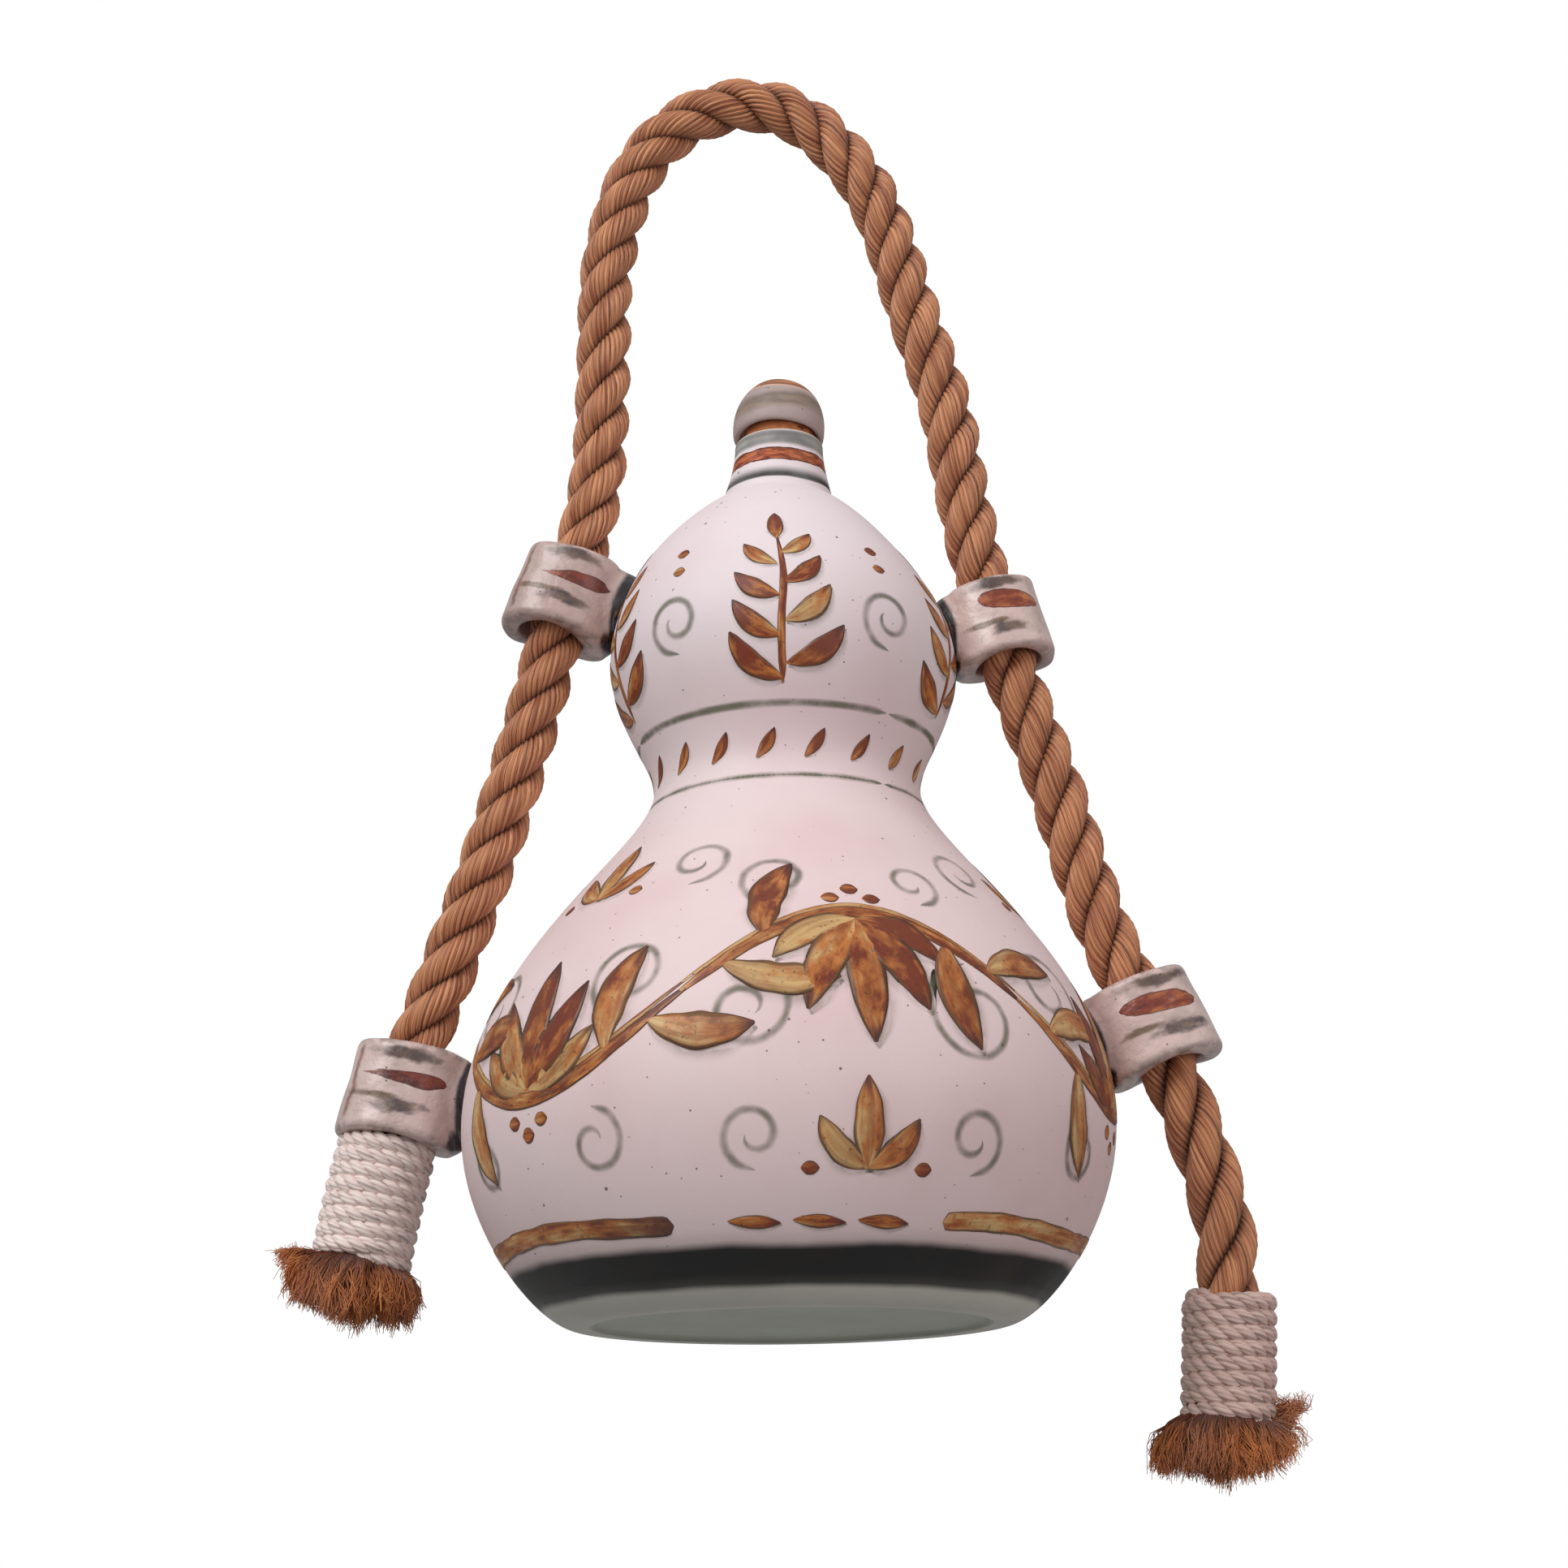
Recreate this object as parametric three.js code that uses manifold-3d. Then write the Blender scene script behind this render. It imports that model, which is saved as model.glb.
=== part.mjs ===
// Gourd-shaped faience flask with four rope lugs, a corked stopper and a laid-rope handle.
// Millimetres, Z up. The origin is on the underside of the handle loop, above the flask's axis,
// where a hook or a hand carries the flask. Heights below are measured up from the foot.
import * as THREE from 'three';
import { mergeVertices } from 'three/addons/utils/BufferGeometryUtils.js';
import Module from 'manifold-3d';

// Height at which the loop is held, above the foot
const HANG_HEIGHT = 314;

// Body outline, from the foot upwards
const FOOT_RADIUS = 54;
const RECESS_RADIUS = 46;
const RECESS_DEPTH = 0.6;
const BELLY_RADIUS = 76.6;
const BELLY_ABOVE_FOOT = 42;
const WAIST_RADIUS = 32.7;
const WAIST_ABOVE_BELLY = 83;
const BULB_RADIUS = 43.3;
const BULB_ABOVE_WAIST = 33;
const SHOULDER_RADIUS = 14.6;
const SHOULDER_ABOVE_BULB = 43;
const LIP_RADIUS = 11.3;
const NECK_LENGTH = 19;
const LIP_ROUNDING = 1.2;

// How long the outline keeps its direction at each turn
const FOOT_EASE = 8;
const BELLY_UNDER_EASE = 20;
const BELLY_OVER_EASE = 40;
const WAIST_UNDER_EASE = 16.5;
const WAIST_OVER_EASE = 8;
const BULB_UNDER_EASE = 14.5;
const BULB_OVER_EASE = 18;
const SHOULDER_EASE = 14;
const SHOULDER_SLOPE = 33;
const NECK_EASE = 5;

// Body wall
const WALL = 5;
const FLOOR_THICKNESS = 7;
const NECK_BORE_RADIUS = 8.4;
const BODY_SEGMENTS = 40;

// Lugs
const LUG_HEIGHT = 24;
const LUG_TOP_RADIUS = 11.6;
const LUG_BOTTOM_RADIUS = 12.8;
const LUG_BORE_RADIUS = 8.3;
const LUG_BORE_EDGE = 1.2;
const LUG_RIM_EDGE = 1.9;
const LUG_SQUARENESS = 2.7;
const LUG_ROOT_WIDTH = 13;
const LUG_ROOT_HEIGHT = 17;
const LUTING_GAP = 0.3;
const LUG_SEGMENTS = 28;

// Reach is from the body's outline to the middle of the bore, tilt leans the lug's top inwards
const UPPER_LEFT_RISE = 20.5;
const UPPER_LEFT_REACH = 17.9;
const UPPER_LEFT_TILT = 17;
const UPPER_RIGHT_RISE = 9.6;
const UPPER_RIGHT_REACH = 13.9;
const UPPER_RIGHT_TILT = 14;
const LOWER_LEFT_RISE = 11.5;
const LOWER_LEFT_REACH = 15.2;
const LOWER_LEFT_TILT = 14;
const LOWER_RIGHT_RISE = 22.5;
const LOWER_RIGHT_REACH = 15.1;
const LOWER_RIGHT_TILT = 21;

// Stopper
const CORK_DEPTH = 18;
const CORK_TIP_RADIUS = 7.4;
const CORK_HEAD_RADIUS = 9.6;
const CORK_HEAD_HEIGHT = 2;
const CORK_TENON_RADIUS = 5;
const CORK_TENON_HEIGHT = 7;
const CORK_CLEARANCE = 0.3;
const KNOB_RADIUS = 11.9;
const KNOB_HEIGHT = 15.8;
const KNOB_FOOT_RADIUS = 9.8;
const KNOB_TOP_RADIUS = 8.2;
const KNOB_RIM_HEIGHT = 11.4;
const STOPPER_SEGMENTS = 32;

// Rope, whippings and frayed ends
const ROPE_RADIUS = 7.3;
const ROPE_SIDES = 10;
const ROPE_STEP = 14;
const ROPE_END_GAP = 0.3;
const HINGE_BALL_INSET = 0.15;
const WHIPPING_CORD = 2.8;
const WHIPPING_PITCH = 3.4;
const WHIPPING_TURNS = 8;
const WHIPPING_STEPS = 20;
const WHIPPING_SIDES = 6;
const WHIPPING_SEAT = 0.3;
const LEFT_WHIPPING_FROM_END = 2;
const RIGHT_WHIPPING_FROM_END = 2;
const TUFT_RADIUS = 16;
const TUFT_LENGTH = 15;
const TUFT_SEGMENTS = 20;

// Rope route from the left end, up over the handle and down to the right end: across, height
const ROPE_ROUTE = [
  [-100.2, 9.8],
  [-97.2, 27.7],
  [-93.9, 42.3],
  [-90.9, 53.5],
  [-87.9, 64.5],
  [-82.1, 81],
  [-70.3, 117],
  [-60.1, 155.8],
  [-54.8, 178.5],
  [-51.4, 190.2],
  [-49.5, 197.5],
  [-46.8, 215],
  [-45.8, 247],
  [-45.4, 269],
  [-43.2, 284],
  [-38.9, 299],
  [-31, 312],
  [-20.8, 320],
  [-9, 323.3],
  [1.4, 321.6],
  [10.5, 316],
  [18.5, 307],
  [24.7, 297],
  [30.2, 282],
  [35.7, 260],
  [43.5, 231],
  [47.2, 205],
  [50.3, 186.5],
  [52, 179.2],
  [54.9, 167.6],
  [57.7, 156],
  [66.3, 128.5],
  [76.4, 91],
  [82.4, 76],
  [87, 64.5],
  [91.3, 53.2],
  [93.9, 46.1],
  [100.2, 20],
  [101, 3],
  [98.8, -28.5],
];
// Places on the route, counted from its start
const LEFT_SEAT = 9;
const LEFT_HINGE = 10;
const RIGHT_HINGE = 27;
const RIGHT_SEAT = 28;
const TAIL_SEAT = 35;
const TAIL_HINGE = 36;

// Edges shorter than this are taken out after joining and cutting
const SMALLEST_EDGE = 0.05;

// Heights of the outline's turns
const BELLY_HEIGHT = BELLY_ABOVE_FOOT;
const WAIST_HEIGHT = BELLY_HEIGHT + WAIST_ABOVE_BELLY;
const BULB_HEIGHT = WAIST_HEIGHT + BULB_ABOVE_WAIST;
const SHOULDER_HEIGHT = BULB_HEIGHT + SHOULDER_ABOVE_BULB;
const LIP_HEIGHT = SHOULDER_HEIGHT + NECK_LENGTH;

const wasm = await Module();
wasm.setup();

// Shape helpers

// Closed solid for joining and cutting
function toSolid(geometry) {
  geometry.deleteAttribute('normal');
  geometry.deleteAttribute('uv');
  const welded = mergeVertices(geometry, 1e-4);
  const vertProperties = new Float32Array(welded.attributes.position.array);
  const triVerts = new Uint32Array(welded.index.array);
  return new wasm.Manifold(new wasm.Mesh({ numProp: 3, vertProperties, triVerts }));
}

function toGeometry(solid) {
  const mesh = solid.getMesh();
  const geometry = new THREE.BufferGeometry();
  geometry.setAttribute('position', new THREE.BufferAttribute(new Float32Array(mesh.vertProperties), 3));
  geometry.setIndex(new THREE.BufferAttribute(new Uint32Array(mesh.triVerts), 1));
  geometry.computeVertexNormals();
  return geometry;
}

// Round solid about Z from an outline of radius and height
function turned(outline, segments) {
  const geometry = new THREE.LatheGeometry(outline, segments);
  geometry.rotateX(Math.PI / 2);
  return geometry;
}

// Outline through corners, each rounded by its own radius
function rounded(corners, steps) {
  const outline = [];
  corners.forEach(([x, y, radius], i) => {
    const corner = new THREE.Vector2(x, y);
    if (!radius) {
      outline.push(corner);
      return;
    }
    const before = new THREE.Vector2(...corners.at(i - 1));
    const after = new THREE.Vector2(...corners[(i + 1) % corners.length]);
    const from = before.sub(corner).setLength(radius).add(corner);
    const to = after.sub(corner).setLength(radius).add(corner);
    outline.push(...new THREE.QuadraticBezierCurve(from, corner, to).getPoints(steps));
  });
  return outline;
}

function curve(points, steps) {
  const corners = points.map(([x, y]) => new THREE.Vector2(x, y));
  return new THREE.CubicBezierCurve(...corners).getPoints(steps);
}

// Body

// The gourd's outline from foot to shoulder, moved inwards by an inset, as radius and height
function gourdOutline(inset, bottom, bottomRadius, top, topRadius, steps) {
  const belly = BELLY_RADIUS - inset;
  const waist = WAIST_RADIUS - inset;
  const bulb = BULB_RADIUS - inset;
  const slope = THREE.MathUtils.degToRad(SHOULDER_SLOPE);
  const shoulderRadius = topRadius + SHOULDER_EASE * Math.cos(slope);
  const shoulderHeight = top - SHOULDER_EASE * Math.sin(slope);
  const parts = [
    curve([
      [bottomRadius, bottom],
      [bottomRadius + FOOT_EASE, bottom],
      [belly, BELLY_HEIGHT - BELLY_UNDER_EASE],
      [belly, BELLY_HEIGHT],
    ], steps),
    curve([
      [belly, BELLY_HEIGHT],
      [belly, BELLY_HEIGHT + BELLY_OVER_EASE],
      [waist, WAIST_HEIGHT - WAIST_UNDER_EASE],
      [waist, WAIST_HEIGHT],
    ], steps + 2),
    curve([
      [waist, WAIST_HEIGHT],
      [waist, WAIST_HEIGHT + WAIST_OVER_EASE],
      [bulb, BULB_HEIGHT - BULB_UNDER_EASE],
      [bulb, BULB_HEIGHT],
    ], steps - 1),
    curve([
      [bulb, BULB_HEIGHT],
      [bulb, BULB_HEIGHT + BULB_OVER_EASE],
      [shoulderRadius, shoulderHeight],
      [topRadius, top],
    ], steps),
  ];
  return parts.flatMap((part, i) => (i ? part.slice(1) : part));
}

function outsideOutline(inset, steps) {
  return gourdOutline(inset, inset, FOOT_RADIUS - inset, SHOULDER_HEIGHT - inset, SHOULDER_RADIUS - inset, steps);
}

// Radius of the outside at a height
function bodyRadius(height) {
  const outline = outsideOutline(0, 40);
  const above = outline.findIndex((point) => point.y >= height);
  const low = outline[above - 1];
  const high = outline[above];
  return THREE.MathUtils.mapLinear(height, low.y, high.y, low.x, high.x);
}

function flaskBody() {
  const base = [
    new THREE.Vector2(0, RECESS_DEPTH),
    new THREE.Vector2(RECESS_RADIUS - RECESS_DEPTH, RECESS_DEPTH),
    new THREE.Vector2(RECESS_RADIUS, 0),
  ];
  const neck = curve([
    [SHOULDER_RADIUS, SHOULDER_HEIGHT],
    [SHOULDER_RADIUS - NECK_EASE * 0.3, SHOULDER_HEIGHT + NECK_EASE],
    [LIP_RADIUS, LIP_HEIGHT - LIP_ROUNDING - NECK_EASE],
    [LIP_RADIUS, LIP_HEIGHT - LIP_ROUNDING],
  ], 4).slice(1);
  const lip = rounded([
    [LIP_RADIUS, LIP_HEIGHT - LIP_ROUNDING],
    [LIP_RADIUS, LIP_HEIGHT, LIP_ROUNDING],
    [NECK_BORE_RADIUS, LIP_HEIGHT],
  ], 2).slice(2);
  const chamberTop = SHOULDER_HEIGHT - WALL;
  const inside = gourdOutline(WALL, FLOOR_THICKNESS, FOOT_RADIUS - WALL, chamberTop, NECK_BORE_RADIUS, 5);
  const outline = [...base, ...outsideOutline(0, 7), ...neck, ...lip, ...inside.reverse()];
  outline.push(new THREE.Vector2(0, FLOOR_THICKNESS));
  return turned(outline, BODY_SEGMENTS);
}

// Solid that the lugs are cut back to, so that they sit on the body with the luting gap
function bodyClearance() {
  const outline = outsideOutline(-LUTING_GAP, 12);
  const shoulder = outline.at(-1);
  outline.unshift(new THREE.Vector2(0, outline[0].y));
  outline.push(new THREE.Vector2(0, shoulder.y));
  return toSolid(turned(outline, BODY_SEGMENTS));
}

// Lugs

// Short flared tube with rounded rims and a slightly squared outside
function lugRing() {
  const half = LUG_HEIGHT / 2;
  const outline = rounded([
    [LUG_BORE_RADIUS, half, LUG_BORE_EDGE],
    [LUG_BORE_RADIUS, -half, LUG_BORE_EDGE],
    [LUG_BOTTOM_RADIUS, -half, LUG_RIM_EDGE],
    [LUG_TOP_RADIUS, half, LUG_RIM_EDGE],
  ], 2);
  outline.push(outline[0].clone());
  const geometry = turned(outline, LUG_SEGMENTS);
  const position = geometry.attributes.position;
  for (let i = 0; i < position.count; i += 1) {
    const x = position.getX(i);
    const y = position.getY(i);
    const radius = Math.hypot(x, y);
    const power = (Math.abs(x) / radius) ** LUG_SQUARENESS + (Math.abs(y) / radius) ** LUG_SQUARENESS;
    const outwards = Math.max(0, radius - LUG_BORE_RADIUS);
    const squared = (radius * power ** (-1 / LUG_SQUARENESS) - radius) * Math.min(1, outwards / LUG_RIM_EDGE);
    position.setXY(i, (x * (radius + squared)) / radius, (y * (radius + squared)) / radius);
  }
  return toSolid(geometry);
}

function lug(side, height, reach, tilt, clearance) {
  const across = side * (bodyRadius(height) + reach);
  const lean = -side * THREE.MathUtils.degToRad(tilt);
  const place = new THREE.Matrix4().makeRotationY(lean).setPosition(across, 0, height);
  const columns = place.toArray();
  const ring = lugRing().transform(columns);
  const root = new THREE.CylinderGeometry(0.5, 0.5, 1, 20);
  root.rotateZ(Math.PI / 2);
  root.scale(reach + LUG_TOP_RADIUS, LUG_ROOT_WIDTH, LUG_ROOT_HEIGHT);
  root.translate((-side * (reach + LUG_TOP_RADIUS)) / 2, 0, 0);
  const keepOut = (LUG_BORE_RADIUS + LUG_TOP_RADIUS) / 2;
  const bore = new THREE.CylinderGeometry(keepOut, keepOut, LUG_HEIGHT, LUG_SEGMENTS);
  bore.rotateX(Math.PI / 2);
  const rootSolid = toSolid(root).subtract(toSolid(bore)).transform(columns);
  return toGeometry(ring.add(rootSolid).subtract(clearance).simplify(SMALLEST_EDGE));
}

// Stopper, with its heights measured up from the lip

function stopperCork() {
  const seat = CORK_CLEARANCE;
  const neckRadius = NECK_BORE_RADIUS - CORK_CLEARANCE;
  const head = seat + CORK_HEAD_HEIGHT;
  return turned(rounded([
    [0, -CORK_DEPTH],
    [CORK_TIP_RADIUS, -CORK_DEPTH, 0.8],
    [neckRadius, -CORK_CLEARANCE],
    [neckRadius, seat],
    [CORK_HEAD_RADIUS - 0.5, seat],
    [CORK_HEAD_RADIUS, head],
    [CORK_TENON_RADIUS, head],
    [CORK_TENON_RADIUS, head + CORK_TENON_HEIGHT],
    [0, head + CORK_TENON_HEIGHT],
  ], 2), STOPPER_SEGMENTS);
}

function stopperKnob() {
  const bottom = CORK_CLEARANCE + CORK_HEAD_HEIGHT + CORK_CLEARANCE;
  const boreTop = CORK_CLEARANCE + CORK_HEAD_HEIGHT + CORK_TENON_HEIGHT + CORK_CLEARANCE;
  const boreRadius = CORK_TENON_RADIUS + CORK_CLEARANCE;
  const top = bottom + KNOB_HEIGHT;
  const side = curve([
    [KNOB_FOOT_RADIUS, bottom],
    [KNOB_RADIUS + 0.9, bottom + KNOB_RIM_HEIGHT * 0.1],
    [KNOB_RADIUS + 0.6, bottom + KNOB_RIM_HEIGHT * 0.65],
    [KNOB_TOP_RADIUS + 0.5, bottom + KNOB_RIM_HEIGHT],
  ], 7);
  const crown = curve([
    [KNOB_TOP_RADIUS, bottom + KNOB_RIM_HEIGHT],
    [KNOB_TOP_RADIUS, top - 1],
    [KNOB_TOP_RADIUS * 0.6, top],
    [0, top],
  ], 4);
  const bore = [
    new THREE.Vector2(0, boreTop),
    new THREE.Vector2(boreRadius, boreTop),
    new THREE.Vector2(boreRadius, bottom),
  ];
  return turned([...bore, ...side, ...crown], STOPPER_SEGMENTS);
}

// Rope

const route = new THREE.CatmullRomCurve3(
  ROPE_ROUTE.map(([across, height]) => new THREE.Vector3(across, 0, height)),
  false,
  'centripetal',
);

// One stretch of the rope's route between two of its points
class RopeStretch extends THREE.Curve {
  constructor(first, last) {
    super();
    this.first = first;
    this.last = last;
  }

  getPoint(t) {
    const place = THREE.MathUtils.lerp(this.first, this.last, t);
    return route.getPoint(place / (ROPE_ROUTE.length - 1));
  }
}

function ropeSection() {
  const section = new THREE.Shape();
  for (let i = 0; i < ROPE_SIDES; i += 1) {
    const angle = (2 * Math.PI * i) / ROPE_SIDES;
    const corner = [ROPE_RADIUS * Math.cos(angle), ROPE_RADIUS * Math.sin(angle)];
    if (i) section.lineTo(...corner);
    else section.moveTo(...corner);
  }
  return section;
}

// Plain tube along a stretch, with a round end wherever the rope bends at a hinge
function ropeTube(first, last, roundEnds) {
  const stretch = new RopeStretch(first, last);
  const steps = Math.ceil(stretch.getLength() / ROPE_STEP);
  let tube = toSolid(new THREE.ExtrudeGeometry(ropeSection(), { steps, extrudePath: stretch }));
  for (const place of roundEnds) {
    const end = route.getPoint(place / (ROPE_ROUTE.length - 1));
    const ballRadius = ROPE_RADIUS * Math.cos(Math.PI / ROPE_SIDES) - HINGE_BALL_INSET;
    const ball = new THREE.SphereGeometry(ballRadius, 14, 8);
    ball.rotateX(Math.PI / 2);
    ball.translate(end.x, end.y, end.z);
    tube = tube.add(toSolid(ball));
  }
  return toGeometry(tube.simplify(SMALLEST_EDGE));
}

// Places on the rope at a distance from one of its ends, with the directions across it there
function ropePlace(fromEnd, atStart) {
  const along = atStart ? fromEnd / route.getLength() : 1 - fromEnd / route.getLength();
  const point = route.getPointAt(along);
  const tangent = route.getTangentAt(along).multiplyScalar(atStart ? 1 : -1);
  const depth = new THREE.Vector3(0, 1, 0);
  const across = new THREE.Vector3().crossVectors(depth, tangent);
  return { point, tangent, depth, across };
}

// Centreline of a whipping: a helix about the rope whose ends run straight on
function whippingLine(fromEnd, atStart) {
  const radius = ROPE_RADIUS + WHIPPING_SEAT + WHIPPING_CORD / 2;
  const count = Math.round(WHIPPING_TURNS * WHIPPING_STEPS);
  const line = [];
  for (let i = 0; i <= count; i += 1) {
    const turn = i / WHIPPING_STEPS;
    const place = ropePlace(fromEnd + WHIPPING_CORD / 2 + turn * WHIPPING_PITCH, atStart);
    const angle = 2 * Math.PI * turn;
    line.push(place.point.clone()
      .addScaledVector(place.across, radius * Math.cos(angle))
      .addScaledVector(place.depth, radius * Math.sin(angle)));
  }
  const first = line[0].clone().sub(line[1]).setLength(WHIPPING_CORD).add(line[0]);
  const last = line.at(-1).clone().sub(line.at(-2)).setLength(WHIPPING_CORD).add(line.at(-1));
  return [first, ...line, last];
}

// Least gap between neighbouring turns, measured from point to point of the centreline
function leastGap(line) {
  let least = Infinity;
  for (let i = 0; i < line.length; i += 1) {
    for (let j = i + Math.round(WHIPPING_STEPS / 2); j < line.length; j += 1) {
      least = Math.min(least, line[i].distanceTo(line[j]));
    }
  }
  return least - WHIPPING_CORD;
}

// One unbroken cord along a line of points
function cordGeometry(line) {
  const points = [];
  const index = [];
  line.forEach((point, i) => {
    const ahead = line[Math.min(i + 1, line.length - 1)];
    const behind = line[Math.max(i - 1, 0)];
    const tangent = ahead.clone().sub(behind).normalize();
    const depth = new THREE.Vector3(0, 0, 1);
    const side = new THREE.Vector3().crossVectors(tangent, depth).normalize();
    const rise = new THREE.Vector3().crossVectors(tangent, side);
    for (let k = 0; k < WHIPPING_SIDES; k += 1) {
      const angle = (2 * Math.PI * k) / WHIPPING_SIDES;
      const corner = point.clone()
        .addScaledVector(side, (WHIPPING_CORD / 2) * Math.cos(angle))
        .addScaledVector(rise, (WHIPPING_CORD / 2) * Math.sin(angle));
      points.push(corner.x, corner.y, corner.z);
    }
  });
  for (let i = 0; i < line.length - 1; i += 1) {
    for (let k = 0; k < WHIPPING_SIDES; k += 1) {
      const a = i * WHIPPING_SIDES + k;
      const b = i * WHIPPING_SIDES + ((k + 1) % WHIPPING_SIDES);
      index.push(a, b, a + WHIPPING_SIDES, b, b + WHIPPING_SIDES, a + WHIPPING_SIDES);
    }
  }
  const end = (line.length - 1) * WHIPPING_SIDES;
  for (let k = 1; k < WHIPPING_SIDES - 1; k += 1) {
    index.push(0, k + 1, k, end, end + k, end + k + 1);
  }
  const geometry = new THREE.BufferGeometry();
  geometry.setAttribute('position', new THREE.Float32BufferAttribute(points, 3));
  geometry.setIndex(index);
  geometry.computeVertexNormals();
  return geometry;
}

function whipping(name, fromEnd, atStart) {
  const line = whippingLine(fromEnd, atStart);
  console.log(`${name}: least gap to itself ${leastGap(line).toFixed(2)} mm`);
  return cordGeometry(line);
}

// Flared brush of loosened fibres below a whipping
function frayedEnd(atStart) {
  const tuft = turned(rounded([
    [0, -TUFT_LENGTH],
    [TUFT_RADIUS * 0.75, -TUFT_LENGTH, 3],
    [TUFT_RADIUS, -TUFT_LENGTH * 0.55, 3],
    [ROPE_RADIUS, -ROPE_END_GAP],
    [0, -ROPE_END_GAP],
  ], 2), TUFT_SEGMENTS);
  const end = ropePlace(0, atStart);
  const place = new THREE.Matrix4().makeBasis(end.across, end.depth, end.tangent);
  tuft.applyMatrix4(place.setPosition(end.point));
  return tuft;
}

// Assembly

const GLAZE = { color: 0xd9cdcb, roughness: 0.45, metalness: 0 };
const LUG_GLAZE = { color: 0xb9a9a4, roughness: 0.35, metalness: 0 };
const KNOB_GLAZE = { color: 0xb3a7a2, roughness: 0.4, metalness: 0 };
const CORK = { color: 0xa4622f, roughness: 0.9, metalness: 0 };
const ROPE = { color: 0xb5743f, roughness: 0.8, metalness: 0 };
const COTTON = { color: 0xe2d3cb, roughness: 0.9, metalness: 0 };
const FIBRE = { color: 0xb0692f, roughness: 0.95, metalness: 0 };

const group = new THREE.Group();
const flask = new THREE.Group();
flask.position.z = -HANG_HEIGHT;
group.add(flask);

function addPart(name, geometry, finish, height = 0) {
  const part = new THREE.Mesh(geometry, new THREE.MeshStandardMaterial(finish));
  part.name = name;
  part.position.z = height;
  flask.add(part);
}

const clearance = bodyClearance();
const lugs = [
  ['upper_left_lug', -1, BULB_HEIGHT + UPPER_LEFT_RISE, UPPER_LEFT_REACH, UPPER_LEFT_TILT],
  ['upper_right_lug', 1, BULB_HEIGHT + UPPER_RIGHT_RISE, UPPER_RIGHT_REACH, UPPER_RIGHT_TILT],
  ['lower_left_lug', -1, BELLY_HEIGHT + LOWER_LEFT_RISE, LOWER_LEFT_REACH, LOWER_LEFT_TILT],
  ['lower_right_lug', 1, BELLY_HEIGHT + LOWER_RIGHT_RISE, LOWER_RIGHT_REACH, LOWER_RIGHT_TILT],
];
const ropeEnd = ROPE_ROUTE.length - 1;

addPart('flask_body', flaskBody(), GLAZE);
for (const [name, side, height, reach, tilt] of lugs) {
  addPart(name, lug(side, height, reach, tilt, clearance), LUG_GLAZE);
}
addPart('stopper_cork', stopperCork(), CORK, LIP_HEIGHT);
addPart('stopper_knob', stopperKnob(), KNOB_GLAZE, LIP_HEIGHT);
addPart('rope_handle_loop', ropeTube(LEFT_HINGE, RIGHT_HINGE, [LEFT_HINGE, RIGHT_HINGE]), ROPE);
addPart('rope_left_side', ropeTube(0, LEFT_SEAT, []), ROPE);
addPart('rope_right_side', ropeTube(RIGHT_SEAT, TAIL_SEAT, []), ROPE);
addPart('rope_right_tail', ropeTube(TAIL_HINGE, ropeEnd, [TAIL_HINGE]), ROPE);
addPart('left_whipping', whipping('left_whipping', LEFT_WHIPPING_FROM_END, true), COTTON);
addPart('right_whipping', whipping('right_whipping', RIGHT_WHIPPING_FROM_END, false), COTTON);
addPart('left_frayed_end', frayedEnd(true), FIBRE);
addPart('right_frayed_end', frayedEnd(false), FIBRE);

export default group;
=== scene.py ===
# Gourd-shaped faience flask with a corked stopper, carried by a laid rope through four lugs.
# Metres, Z up. The origin is on the underside of the rope's loop, above the flask's axis.
import bisect
import math
import random

import bmesh
import bpy
from mathutils import Matrix, Vector, noise
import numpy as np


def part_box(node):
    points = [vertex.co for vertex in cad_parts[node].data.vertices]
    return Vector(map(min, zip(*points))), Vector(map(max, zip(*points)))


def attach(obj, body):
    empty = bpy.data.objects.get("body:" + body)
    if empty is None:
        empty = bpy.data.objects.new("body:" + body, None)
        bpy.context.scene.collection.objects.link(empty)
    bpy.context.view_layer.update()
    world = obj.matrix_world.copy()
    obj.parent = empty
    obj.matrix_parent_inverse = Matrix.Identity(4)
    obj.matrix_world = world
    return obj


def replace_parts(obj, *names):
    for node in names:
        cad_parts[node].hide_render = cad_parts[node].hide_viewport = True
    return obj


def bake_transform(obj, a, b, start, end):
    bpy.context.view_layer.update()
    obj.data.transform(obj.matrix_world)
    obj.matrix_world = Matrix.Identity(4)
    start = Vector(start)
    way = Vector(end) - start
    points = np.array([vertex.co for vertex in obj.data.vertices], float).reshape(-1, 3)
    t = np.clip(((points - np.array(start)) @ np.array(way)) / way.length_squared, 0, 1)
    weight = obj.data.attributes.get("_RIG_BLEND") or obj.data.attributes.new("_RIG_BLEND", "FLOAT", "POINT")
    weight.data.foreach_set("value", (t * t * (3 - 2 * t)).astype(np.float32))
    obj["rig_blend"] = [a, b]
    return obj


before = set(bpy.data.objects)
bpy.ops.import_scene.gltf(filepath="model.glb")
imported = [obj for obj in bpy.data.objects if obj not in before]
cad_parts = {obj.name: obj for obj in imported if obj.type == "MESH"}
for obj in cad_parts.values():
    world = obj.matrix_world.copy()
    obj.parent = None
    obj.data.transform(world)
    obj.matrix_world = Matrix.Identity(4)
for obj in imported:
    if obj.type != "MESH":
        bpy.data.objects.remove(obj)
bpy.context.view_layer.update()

MM = 0.001
FULL_TURN = 2 * math.pi
BACKWARDS = Vector((0, 1, 0))

# Seed of the noise that leaves the lugs and the stopper uneven
UNEVEN_SEED = 7
noise.seed_set(UNEVEN_SEED)

# Levels in the frame, and heights above the foot
FOOT_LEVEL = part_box("flask_body")[0].z
LIP_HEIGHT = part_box("flask_body")[1].z - FOOT_LEVEL

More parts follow.
